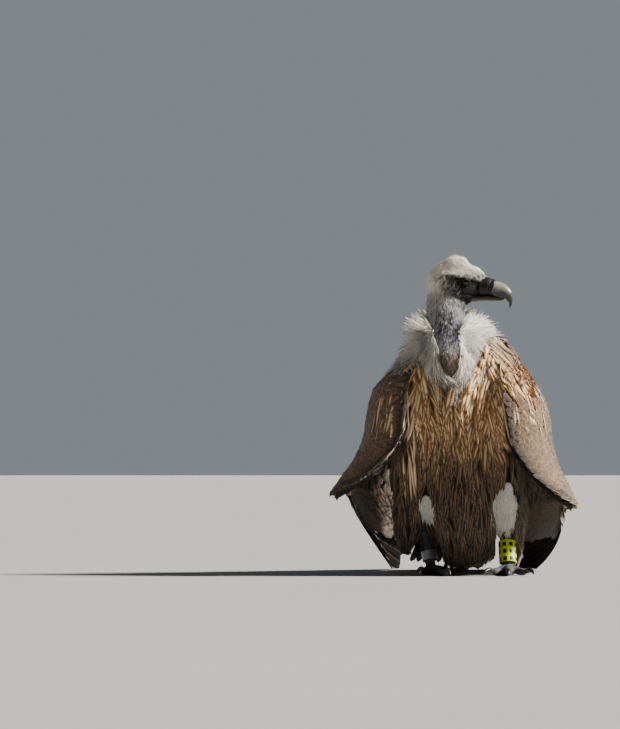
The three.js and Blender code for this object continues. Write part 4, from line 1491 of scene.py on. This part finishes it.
def shoulder_tuft(plumage):
    """A few dark chestnut feathers that stick up behind the left shoulder."""
    x, y, z = (samples.centres / MM).T
    where = (x > 84) * (x < 122) * (y > -34) * (y < 24) * (z > 372) * (z < 408)
    where = where * is_part(samples.owner, "wing_left", "trunk", "collar")
    roots, normals, uv = samples.scatter(where * 1.0, 0.011)
    ways = strewn(alike(unit(np.array([0.6, -0.1, -0.4])), roots), 0.16)
    size = RNG.uniform(24, 34, len(roots)) * MM
    rise = RNG.uniform(7, 12, len(roots)) * MM
    centres, ups = laid(roots, normals, ways, size, ROUND[0], 1.0 * MM, rise, 0.7, 1.0)
    core, rim = (alike(srgb(*rgb), roots) for rgb in ((64, 38, 27), (104, 64, 42)))
    plumage.add(centres, ups, RNG.uniform(5, 8, len(roots)) * MM, THICK, varied(core, 0.2),
                varied(rim, 0.2), 0.1, uv, ROUND)


def thigh_coat(plumage):
    """White down where the thighs show, and on the left one down to the tarsus."""
    z = samples.centres[:, 2] / MM
    where = in_opening(samples.centres, 1.2) | is_part(samples.owner, "thigh_left") & (z < 80)
    where = where & is_part(samples.owner, "thigh", "trunk", "belly", "trouser")
    roots, normals, uv = samples.scatter(where, 0.0024, thinned=False)
    ways = alike([0.0, 0.05, -1.0], roots)
    length = 11 * RNG.uniform(0.7, 1.25, len(roots)) * MM
    stand = 0.2 + RNG.uniform(0, 0.15, len(roots))
    centres, ups = standing(roots, normals, ways, stand, 0.16, length, length * 0.15, 0.5)
    colour = varied(alike(srgb(238, 236, 232), roots), 0.06)
    half = 0.75 * MM * RNG.uniform(0.7, 1.25, len(roots))
    plumage.add(centres, ups, half, half * 0.8, colour, colour, 0, uv, WISP)

# ------------------------------------------------------------------ wings and tail

# Each row: height, the leading edge's x and y, the bulge's x and y, the trailing edge's x and
# y, and the thickness. x is measured away from the middle of the bird.
LEFT_ARM = [
    (424, 66, -30, 84, -4, 60, 44, 10), (398, 76, -68, 106, -24, 66, 74, 18),
    (370, 78, -92, 117, -38, 68, 102, 24), (335, 82, -112, 145, -46, 66, 136, 34),
    (290, 89, -122, 164, -50, 60, 180, 38), (240, 98, -124, 170, -50, 54, 228, 36),
    (195, 126, -122, 182, -50, 54, 270, 26), (158, 164, -116, 201, -52, 56, 306, 16),
    (128, 208, -100, 212, -64, 60, 336, 8),
]
RIGHT_ARM = [
    (404, 70, -30, 86, -4, 60, 52, 10), (384, 78, -68, 102, -24, 66, 76, 18),
    (362, 84, -92, 111, -38, 68, 102, 26), (334, 90, -110, 143, -46, 66, 136, 32),
    (290, 95, -120, 156, -50, 60, 178, 36), (245, 104, -124, 163, -50, 54, 224, 34),
    (206, 134, -122, 180, -52, 54, 262, 26), (175, 172, -118, 203, -56, 56, 292, 16),
    (148, 217, -100, 220, -66, 60, 322, 8),
]
LEFT_HAND = [
    (137, 194, -90, 197, -42, 60, 328, 7), (96, 194, 10, 192, 70, 68, 372, 6),
    (52, 189, 150, 182, 210, 88, 408, 5), (18, 174, 285, 166, 325, 108, 434, 4),
    (2, 162, 370, 154, 395, 120, 442, 3),
]
RIGHT_HAND = [
    (157, 196, -90, 200, -42, 60, 313, 7), (104, 174, 10, 168, 70, 66, 364, 6),
    (58, 146, 160, 138, 215, 78, 402, 5), (20, 120, 296, 116, 330, 88, 434, 4),
    (2, 108, 385, 106, 400, 92, 446, 3),
]


class Sheet:
    """A curved sheet of feathers, with s from its front to its rear edge and v along it.

    Each kind gives its outer face and its thickness, both from s and v."""

    def slopes(self, s, v, step):
        """How far the face runs over a step of s and one of v, and how long the steps are."""
        s0, s1 = np.maximum(s - step, 0), np.minimum(s + step, 1)
        v0, v1 = np.maximum(v - step, 0), np.minimum(v + step, 1)
        ds, dv = self.face(s1, v) - self.face(s0, v), self.face(s, v1) - self.face(s, v0)
        return ds, dv, s1 - s0, v1 - v0

    def normal(self, s, v):
        """Away from the body."""
        ds, dv, _, _ = self.slopes(s, v, 2e-3)
        return unit(np.cross(ds, dv)) * self.outward

    def at(self, s, v, lift=0.0, inner=False):
        """Points lift metres off the outer face, or off the inner one."""
        s, v = np.broadcast_arrays(np.asarray(s, float), np.asarray(v, float))
        normal = self.normal(s, v)
        lift = np.broadcast_to(lift, s.shape)[..., None]
        if inner:
            deep = self.thickness(s, v)[..., None]
            return self.face(s, v) - normal * (deep + lift), -normal
        return self.face(s, v) + normal * lift, normal

    def stretch(self, s, v):
        """Metres for each unit of s and of v."""
        ds, dv, long_s, long_v = self.slopes(s, v, 5e-3)
        return np.linalg.norm(ds, axis=-1) / long_s, np.linalg.norm(dv, axis=-1) / long_v


class Wing(Sheet):
    """An arm or a hand of a wing, from one of the tables above."""

    def __init__(self, rows, side):
        self.rows, self.side, self.outward = np.array(rows, float), side, -side

    def face(self, s, v):
        z, ax, ay, bx, by, cx, cy, _ = np.moveaxis(spline(self.rows, v), -1, 0)
        a, b, c = (np.stack([self.side * x, y, z], -1) for x, y in ((ax, ay), (bx, by), (cx, cy)))
        chord = np.linalg.norm(c - a, axis=-1)
        fore = np.linalg.norm(b - a, axis=-1)
        nose = a * 0.55 + b * 0.45
        nose[..., 0] += self.side * 0.05 * fore
        nose[..., 1] -= 0.14 * fore
        rear = (b + c) / 2
        rear[..., 0] += self.side * 0.07 * chord
        rear[..., 1] += 0.03 * chord
        point = spline(np.stack([a, nose, b, rear, c], -2), s)
        point[..., 2] = np.maximum(point[..., 2], 1.6)
        return point * MM

    def thickness(self, s, v):
        most = spline(self.rows, v)[..., 7]
        nose = np.sqrt(1 - (1 - np.minimum(s / 0.14, 1)) ** 2)
        rear = 6 - 3.8 * smooth(s, 0.6, 1)
        taper = 1 - smooth(s, 0.3, 0.66)
        return (1.2 + nose * (taper * np.maximum(most - rear, 0) + np.minimum(rear, most))) * MM


class Tail(Sheet):
    """The tail, arched across; its measures are in millimetres."""

    base, end, base_half, end_half, arch = (0, 162, 135), (0, 408, 14), 46, 76, 12
    outward = 1

    def face(self, s, v):
        across = 2 * np.asarray(v) - 1
        s = np.asarray(s)[..., None]
        point = np.array(self.base) * (1 - s) + np.array(self.end) * s
        s = s[..., 0]
        point[..., 0] += (self.base_half * (1 - s) + self.end_half * s) * across
        point[..., 2] -= self.arch * across**2 * (1 - 0.5 * s)
        out = unit(np.array(self.end, float) - self.base)
        return (point + out * (-26 * across**2 * s**4)[..., None]) * MM

    def normal(self, s, v):
        normal = super().normal(s, v)
        return normal * np.sign(normal[..., 2:3])

    def thickness(self, s, v):
        return (13 - 10.5 * np.asarray(s)) * MM


PATH_STEPS = 300  # how finely a row's path is measured
# How many millimetres a feather's tip may run past the sheet's lower and its rear edge.
PAST_END, PAST_REAR, PAST_REAR_INSIDE = 14, 99, 3


def covert_rows(plumage, sheet, rows, spacing, length, half, slant, core, rim, lift=(-3.5, 0.6),
                inner=False, span=(0.0, 1.0), down=False, strew=0.06, corner=(0, 0)):
    """Rows of feathers on a sheet, slanting by slant from s towards v.

    Each row keeps its own s and runs over a span of v, or the other way round if down is set.
    length, half and slant are one number each, or one for the first row and one for the last.
    corner says which quarter of the unwrap the rows lie in."""
    past_rear = PAST_REAR_INSIDE if inner else PAST_REAR
    for number, fixed in enumerate(rows):
        late = number / max(len(rows) - 1, 1)
        long, wide_half = (np.interp(late, [0, 1], np.broadcast_to(x, 2)) for x in (length, half))
        share = np.linspace(0, 1, PATH_STEPS)
        path = sheet.at(share, fixed)[0] if down else sheet.at(fixed, share)[0]
        run = np.concatenate([[0], np.cumsum(np.linalg.norm(np.diff(path, axis=0), axis=1))])
        low, high = (np.interp(x, share, run) for x in span)
        count = max(2, int((high - low) / (spacing * MM)))
        spots = low + (np.arange(count) + 0.5 * (number % 2) + 0.25) * (high - low) / count
        spots = spots + RNG.normal(size=count) * 0.1 * spacing * MM
        moving = np.clip(np.interp(spots, run, share), 0, 1)
        still = np.clip(fixed + RNG.normal(size=count) * 0.005, 0, 1)
        root_s, root_v = (moving, still) if down else (still, moving)
        per_s, per_v = sheet.stretch(root_s, root_v)
        size = long * MM * RNG.uniform(0.82, 1.18, count)
        lean = np.interp(late, [0, 1], np.broadcast_to(slant, 2)) + RNG.normal(size=count) * strew
        t = ROUND[0]
        s = root_s[:, None] + (np.cos(lean) * size / per_s)[:, None] * t
        w = root_v[:, None] + (np.sin(lean) * size / per_v)[:, None] * t
        over_s = np.maximum(s - 1, 0) * per_s[:, None]
        over_v = np.maximum(w - 1, 0) * per_v[:, None]
        s, w = np.clip(s, 0, 1), np.clip(w, 0, 1)
        rise = (lift[0] + (lift[1] - lift[0]) * t) * MM
        rise = rise + RNG.uniform(-0.6, 1.0, (count, 1)) * MM * t
        centres, ups = sheet.at(s, w, rise, inner)
        fore, _ = sheet.at(0.985, root_v, 0, inner)
        rear, _ = sheet.at(1.0, root_v, 0, inner)
        centres = centres + unit(rear - fore)[:, None] * over_s[..., None]
        centres[..., 2] -= over_v * 0.2
        centres[..., 2] = np.maximum(centres[..., 2], 1.5 * MM)
        wide = wide_half * MM * RNG.uniform(0.85, 1.15, count)
        uv = 0.5 * np.array(corner) + 0.01 + 0.48 * np.stack([root_s, root_v], -1)
        tint = 1 + RNG.normal(size=(count, 1)) * 0.15
        tint = tint * (1 + 0.12 * wobble(centres[:, 0], 0.06, 31)[:, None])
        # Painted shade: feathers at the sheet's front edge are painted down to half as bright, for
        # the shade where the wing meets the body.
        tint = tint * (0.5 + 0.5 * smooth(root_s, 0.0, 0.08)[:, None])
        # Feathers that would stick out past the sheet's lower or hidden rear edge are left out.
        keep = (over_v[:, -1] < PAST_END * MM) & (over_s[:, -1] < past_rear * MM)
        plumage.add(centres[keep], ups[keep], wide[keep], COVERT_THICK, (core * tint)[keep],
                    (rim * tint)[keep], 0.12, uv[keep], ROUND)


def wing_coat(plumage, lining, arm, hand, caped):
    """Small feathers over the arm, larger ones behind, long ones over the quills, and a lining.

    caped is the share of the arm, from the shoulder, that the cape covers in front."""
    sand, sand_rim = srgb(100, 77, 53), srgb(148, 121, 90)
    brown, brown_rim = srgb(80, 60, 45), srgb(160, 132, 104)
    covert_rows(plumage, arm, np.linspace(0.02, 0.30, 20), 7.8, (20, 32), (4.8, 7.6),
                (1.25, 0.7), sand, sand_rim, lift=(-3.5, 1.6), strew=0.12, span=(caped, 1.0))
    covert_rows(plumage, arm, (0.03, 0.06, 0.09), 9, 34, 6.5, 1.3, srgb(52, 42, 35),
                srgb(140, 118, 96), lift=(-1.5, 3.5), span=(0.84, 1.0))
    # Painted shade: the two rows along the arm's front edge are dark, for the shade between the
    # wing and the breast.
    covert_rows(plumage, arm, (0.0, 0.012), 7, 24, 5, 1.4, srgb(58, 45, 35), srgb(92, 74, 58),
                lift=(-3, 0.5), span=(caped, 1.0))
    covert_rows(plumage, arm, np.linspace(0.31, 0.405, 7), 10, (32, 50), (8, 11), 0.6, brown,
                brown_rim, span=(0.0, 0.95))
    covert_rows(plumage, arm, (0.42, 0.445, 0.47), 12, (74, 104), (11, 13.5), 0.45,
                srgb(66, 51, 40), srgb(150, 124, 98), span=(0.0, 0.86))
    covert_rows(plumage, hand, (0.0, 0.07, 0.14, 0.21), 12, (30, 66), (9, 11), 1.25,
                srgb(66, 51, 41), srgb(158, 132, 104), down=True, span=(0.0, 0.95), corner=(0, 1))
    rust, rust_rim = srgb(122, 84, 48), srgb(46, 30, 18)
    # Painted shade: the first lining rows behind the front edge are near black, for the shade on
    # the wing's inner side.
    covert_rows(lining, arm, np.linspace(0.035, 0.12, 5), 9, (26, 32), (5, 6), 1.5,
                srgb(44, 33, 24), srgb(26, 19, 14), lift=(-2, 1), inner=True, corner=(1, 0),
                span=(0.3, 0.97))
    covert_rows(lining, arm, np.linspace(0.13, 0.94, 34), 10, (40, 62), (5.4, 7.4), 1.45, rust,
                rust_rim, lift=(-1, 6), inner=True, strew=0.2, corner=(1, 0), span=(0.3, 1.0))
    covert_rows(lining, hand, np.linspace(0.0, 0.32, 12), 7.5, (34, 46), (4.6, 6.2), 1.5, rust,
                rust_rim, lift=(-1, 5), inner=True, down=True, span=(0.0, 0.94), strew=0.2,
                corner=(1, 1))


# Places across a flight feather's vane, close together at its quill.
FLIGHT_ACROSS = np.array([-1, -0.72, -0.36, -0.05, 0.05, 0.36, 0.72, 1])
SPLITS = 3
SPLIT_DEPTH = 0.10


def flight_feather(sheet, s, v, half_s, half_v, lift, tilt):
    """One long feather on a sheet: s and v are its centre line, half_s and half_v half its width.

    It returns points, faces and, for each point, its place across and along the vane."""
    steps = len(s)
    t = np.linspace(0, 1, steps)
    across = FLIGHT_ACROSS
    tip = np.sqrt(np.clip(1 - ((t - 0.7).clip(0) / 0.3) ** 3.2, 0, 1))
    width = np.maximum(np.minimum(1, 0.42 + 2.6 * t) * tip, 0.04)
    # A few splits where the barbs part, at different places on the two sides.
    parts = np.ones((steps, len(across)))
    for use in (across < -0.5, across > 0.5):
        for where in RNG.uniform(0.3, 0.95, SPLITS):
            parts[:, use] -= SPLIT_DEPTH * bell((t, where, 0.014))[:, None]
    u = across[None] * parts
    grid_s = np.clip(s[:, None] + u * (half_s * width)[:, None], 0, 1)
    grid_v = np.clip(v[:, None] + u * (half_v * width)[:, None], 0, 1)
    quill = bell((across, 0, 0.12))[None] * (1.1 - 0.8 * t[:, None])
    rise = lift + tilt * u + 0.5 * quill - 0.25 * (u**2)
    top, _ = sheet.at(grid_s, grid_v, rise * MM)
    under, _ = sheet.at(grid_s, grid_v, (rise - 0.65 - 0.7 * quill) * MM)
    n = len(across)
    points = np.concatenate([top.reshape(-1, 3), under.reshape(-1, 3)])
    points[:, 2] = np.maximum(points[:, 2], 0.9 * MM)
    total = steps * n
    faces = []
    for i in range(steps - 1):
        for j in range(n - 1):
            a, b = i * n + j, (i + 1) * n + j
            faces += [[a, a + 1, b + 1, b],
                      [total + b, total + b + 1, total + a + 1, total + a]]
        a, b, end = i * n, (i + 1) * n, n - 1
        faces += [[a, b, total + b, total + a],
                  [b + end, a + end, total + a + end, total + b + end]]
    last = (steps - 1) * n
    for j in range(n - 1):
        a = last + j
        faces += [[j + 1, j, total + j, total + j + 1], [a, a + 1, total + a + 1, total + a]]
    vane = np.stack([np.tile((across + 1) / 2, steps), np.repeat(t, n)], -1)
    return points, faces, np.concatenate([vane, vane])


class Quills:
    """Flight feathers gathered into one mesh, each with its own strip of the unwrap."""

    def __init__(self, most):
        self.most, self.faces = most, []
        self.points, self.vane, self.core, self.rim = [], [], [], []

    def add(self, sheet, s, v, half_s, half_v, lift, tilt, core, rim, vary=0.06):
        points, faces, vane = flight_feather(sheet, s, v, half_s, half_v, lift, tilt)
        shade = 1 + RNG.normal() * vary
        start = sum(len(p) for p in self.points)
        self.faces += [[i + start for i in f] for f in faces]
        self.points.append(points)
        self.vane.append(vane)
        self.core.append(alike(core * shade, points))
        self.rim.append(alike(rim * shade, points))

    def done(self, name, slot, material, nodes):
        mesh = mesh_of(name, np.concatenate(self.points), self.faces)
        vane = np.concatenate(self.vane)
        under = np.concatenate([np.arange(len(p)) >= len(p) // 2 for p in self.points])
        strip = np.concatenate([np.full(len(p), i) for i, p in enumerate(self.points)])
        bake = np.stack([(strip + 0.08 + 0.4 * vane[:, 0] + 0.44 * under) / self.most,
                         0.02 + 0.96 * vane[:, 1]], -1)
        feather_layers(mesh, bake, vane, np.concatenate(self.core), np.concatenate(self.rim),
                       np.full(len(vane), 0.14))
        mesh.set_sharp_from_angle(angle=math.radians(50))
        print(name, len(self.faces) * 2, "triangles")
        place(name, mesh, material, nodes)


SECONDARIES = 20
PRIMARIES = 10
TAIL_FEATHERS = 12
STEPS = 40


def wing_quills(arm, hand):
    """The secondaries side by side on the arm, and the primaries in a fan on the hand."""
    quills = Quills(SECONDARIES + PRIMARIES)
    t = np.linspace(0, 1, STEPS)
    for i in range(SECONDARIES):
        place_v = (i + 0.5) / SECONDARIES
        v = np.clip(place_v - 0.06 + 0.06 * t, 0, 1)
        reach = 1 - 0.012 * (i % 2)
        quills.add(arm, 0.42 + (reach - 0.42) * t, v, np.zeros(STEPS),
                   np.full(STEPS, 0.95 / SECONDARIES), -1.6, -0.9, srgb(36, 28, 23),
                   srgb(58, 46, 36), 0.08)
    # The outer primaries end along the sheet's lower edge and the inner ones along its rear.
    rear, low = np.linspace(0.24, 0.97, 6), np.linspace(0.78, 0.09, 4)
    ends = [(0.985, v) for v in rear] + [(s, 1.0) for s in low]
    for i, (end_s, end_v) in enumerate(ends):
        share = i / (PRIMARIES - 1)
        v = end_v * t
        start_s = 0.28 - 0.25 * share
        s = start_s + (end_s - start_s) * t ** 1.4
        per_s, per_v = hand.stretch(s, v)
        slope = unit(np.stack([np.gradient(s) * per_s, np.gradient(v) * per_v], -1))
        half = (29 - 9 * t) * MM
        quills.add(hand, s, v, half * slope[:, 1] / per_s, -half * slope[:, 0] / per_v, -1.0,
                   0.9, srgb(19, 15, 13), srgb(30, 24, 20))
    return quills


def tail_quills(tail):
    """The tail feathers, the outer ones lowest and the middle pair on top."""
    quills = Quills(TAIL_FEATHERS)
    t = np.linspace(0, 1, STEPS)
    middle = (TAIL_FEATHERS - 1) / 2
    for rank, i in enumerate(sorted(range(TAIL_FEATHERS), key=lambda i: -abs(i - middle))):
        v = np.full(STEPS, (i + 0.5) / TAIL_FEATHERS)
        quills.add(tail, 0.03 + 0.97 * t, v, np.zeros(STEPS), np.full(STEPS, 0.62 / TAIL_FEATHERS),
                   -2.6 + 0.22 * rank, -0.8 if i > middle else 0.8, srgb(32, 25, 21),
                   srgb(48, 38, 30))
    return quills

# ------------------------------------------------------------------ putting the bird together

colour_layer(skin, "Core", skin_colours_with_painted_shade(mesh_points(skin), skin_owner))
number_layer(skin, "Scaly", is_part(skin_owner, "foot", "tarsus"))
place("skin", skin, skin_material(), FLESH)
make_bill()
make_eyes()
make_claws()
make_rings()

soft_down = down_material("soft_down")
ruff_down = down_material("ruff_down", 0.5)
PALE_QUILL, DARK_QUILL = (0.62, 0.5, 0.34), (0.06, 0.04, 0.03)
streaked = feather_material("streaked_feathers", 0.12, 0.6, PALE_QUILL, gloss=0.66)
edged = feather_material("edged_feathers", 0.45, 0.95, DARK_QUILL)
dark_vanes = feather_material("flight_feathers", 0.82, 1.05, (0.28, 0.22, 0.15), 70, 0.7, 0.0, 0.06)

for name, material, grow, settings in (
        ("coat_crown", soft_down, head_coat, [True]),
        ("coat_cheeks", soft_down, head_coat, [False]),
        ("coat_neck", soft_down, neck_coat, []),
        ("coat_ruff_down", ruff_down, ruff_coat, [True]),
        ("coat_ruff", ruff_down, ruff_coat, [False]),
        ("coat_thighs", soft_down, thigh_coat, [])):
    coat = Plumage()
    grow(coat, *settings)
    coat.done(name, "down", material, sharp=False)

BREAST_LOW, BREAST_OVERLAP, BELLY_TOP = 215, (285, 300), 235
BODY_RISE = 11
height = samples.centres[:, 2] / MM
body = is_part(samples.owner, "trunk", "belly", "trouser")
body = body | is_part(samples.owner, "thigh_left") & (height > 78)
body = body | is_part(samples.owner, "thigh_right") & (height > 96)
edge = 62 - 34 * smooth(height, 280, 320) - 36 * smooth(height, 336, 360)
front = body & (samples.centres[:, 1] / MM < edge)
crop_side = is_part(samples.owner, "neck") & (height < 352) & (crop_patch(samples.centres) < 0.3)
nape = is_part(samples.owner, "collar") & (samples.centres[:, 1] / MM > 28) & (height < 384)
coat = Plumage()
lower = front & (height > BREAST_LOW) & (height < BREAST_OVERLAP[1])
body_coat(coat, lower, 0.0064, 56, 4.3, LANCE, BODY_RISE)
upper = front & (height > BREAST_OVERLAP[0]) | crop_side
body_coat(coat, upper, 0.0064, 50, 5.0, LANCE, BODY_RISE, bridging=True)
coat.done("coat_breast", "body_feather", streaked)
coat = Plumage()
cape_coat(coat)
long_plumes(coat)
coat.done("coat_cape", "body_feather", streaked)
coat = Plumage()
belly = front & (height <= BELLY_TOP)
body_coat(coat, belly, 0.0056, 62, 3.6, LANCE, BODY_RISE, low_cling=0.5)
coat.done("coat_belly", "body_feather", streaked)
coat = Plumage()
body_coat(coat, body & ~front | nape, 0.009, 42, 7.4, ROUND, strew=0.05)
shoulder_tuft(coat)
coat.done("coat_back", "body_feather", edged)

for side, name, arm_rows, hand_rows, caped in ((1, "left", LEFT_ARM, LEFT_HAND, 0.4),
                                               (-1, "right", RIGHT_ARM, RIGHT_HAND, 0.22)):
    arm, hand = Wing(arm_rows, side), Wing(hand_rows, side)
    coat, lining = Plumage(), Plumage()
    wing_coat(coat, lining, arm, hand, caped)
    coat.done("coat_wing_" + name, "covert_feather", edged)
    lining.done("coat_lining_" + name, "covert_feather", streaked)
    wing_quills(arm, hand).done("quills_wing_" + name, "flight_feather", dark_vanes,
                                [f"wing_{name}_secondaries", f"wing_{name}_primaries"])
tail_quills(Tail()).done("quills_tail", "flight_feather", dark_vanes, ["tail"])

# ------------------------------------------------------------------ floor, light, camera

SCALE = 1.78 * MM  # metres for each picture point at the bird
CAMERA_AWAY = 9.0
SENSOR = 36
CAMERA_HEIGHT = 0.23
PICTURE = (620, 729)
BIRD_X, FLOOR_Y = 455, 575  # where the bird's own origin falls in the picture
SUN_WAY, SUN_POWER, SUN_WIDTH = Vector((-2.6, 0.24, -1.75)), 13.0, math.radians(9)
FILL_PLACE, FILL_AIM, FILL_POWER, FILL_SIZE = (
    Vector((-2.5, -2.5, 1.6)), Vector((0, 0, 0.3)), 2, 2.5)


def make_floor():
    bpy.ops.mesh.primitive_plane_add(size=60)
    floor = bpy.context.object
    floor.name = "floor"
    look = Look("floor", roughness=0.9)
    shade = look.blend(look.noise(1.5), (0.36, 0.36, 0.35), (0.39, 0.39, 0.38))
    floor.data.materials.append(look.base(shade))


def make_camera():
    data = bpy.data.cameras.new("camera")
    camera = new_object("camera", data)
    camera.location = (
        (PICTURE[0] / 2 - BIRD_X) * SCALE + SHIFT[0],
        -CAMERA_AWAY + SHIFT[1],
        CAMERA_HEIGHT,
    )
    camera.rotation_euler = (math.pi / 2, 0, 0)
    data.sensor_width = SENSOR
    data.lens = SENSOR * CAMERA_AWAY / (PICTURE[1] * SCALE)
    middle = (FLOOR_Y - PICTURE[1] / 2) * SCALE
    data.shift_y = (middle - CAMERA_HEIGHT) / (PICTURE[1] * SCALE)
    data.clip_start, data.clip_end = 0.1, 100
    bpy.context.scene.camera = camera


def light(name, kind, way, power, colour):
    data = bpy.data.lights.new(name, kind)
    data.energy, data.color = power, colour
    lamp = new_object(name, data)
    lamp.rotation_euler = way.to_track_quat("-Z", "Y").to_euler()
    return lamp


def make_lights():
    sun = light("key", "SUN", SUN_WAY, SUN_POWER, (1, 0.95, 0.86))
    sun.data.angle = SUN_WIDTH
    fill = light("fill", "AREA", FILL_AIM - FILL_PLACE, FILL_POWER, (0.8, 0.88, 1))
    fill.data.size, fill.location = FILL_SIZE, FILL_PLACE
    world = bpy.data.worlds.new("world")
    bpy.context.scene.world = world
    world.use_nodes = True
    back = world.node_tree.nodes["Background"]
    back.inputs["Color"].default_value = (0.55, 0.6, 0.66, 1)
    # The room is brighter behind the bird than in front of it.
    nodes, links = world.node_tree.nodes, world.node_tree.links
    ways, parts, bright = (nodes.new("ShaderNode" + kind)
                           for kind in ("TexCoord", "SeparateXYZ", "MapRange"))
    for key, value in (("From Min", 0.0), ("From Max", 0.6), ("To Min", 0.05), ("To Max", 0.4)):
        bright.inputs[key].default_value = value
    links.new(ways.outputs["Generated"], parts.inputs[0])
    links.new(parts.outputs["Y"], bright.inputs["Value"])
    links.new(bright.outputs["Result"], back.inputs["Strength"])


make_floor()
make_lights()
make_camera()
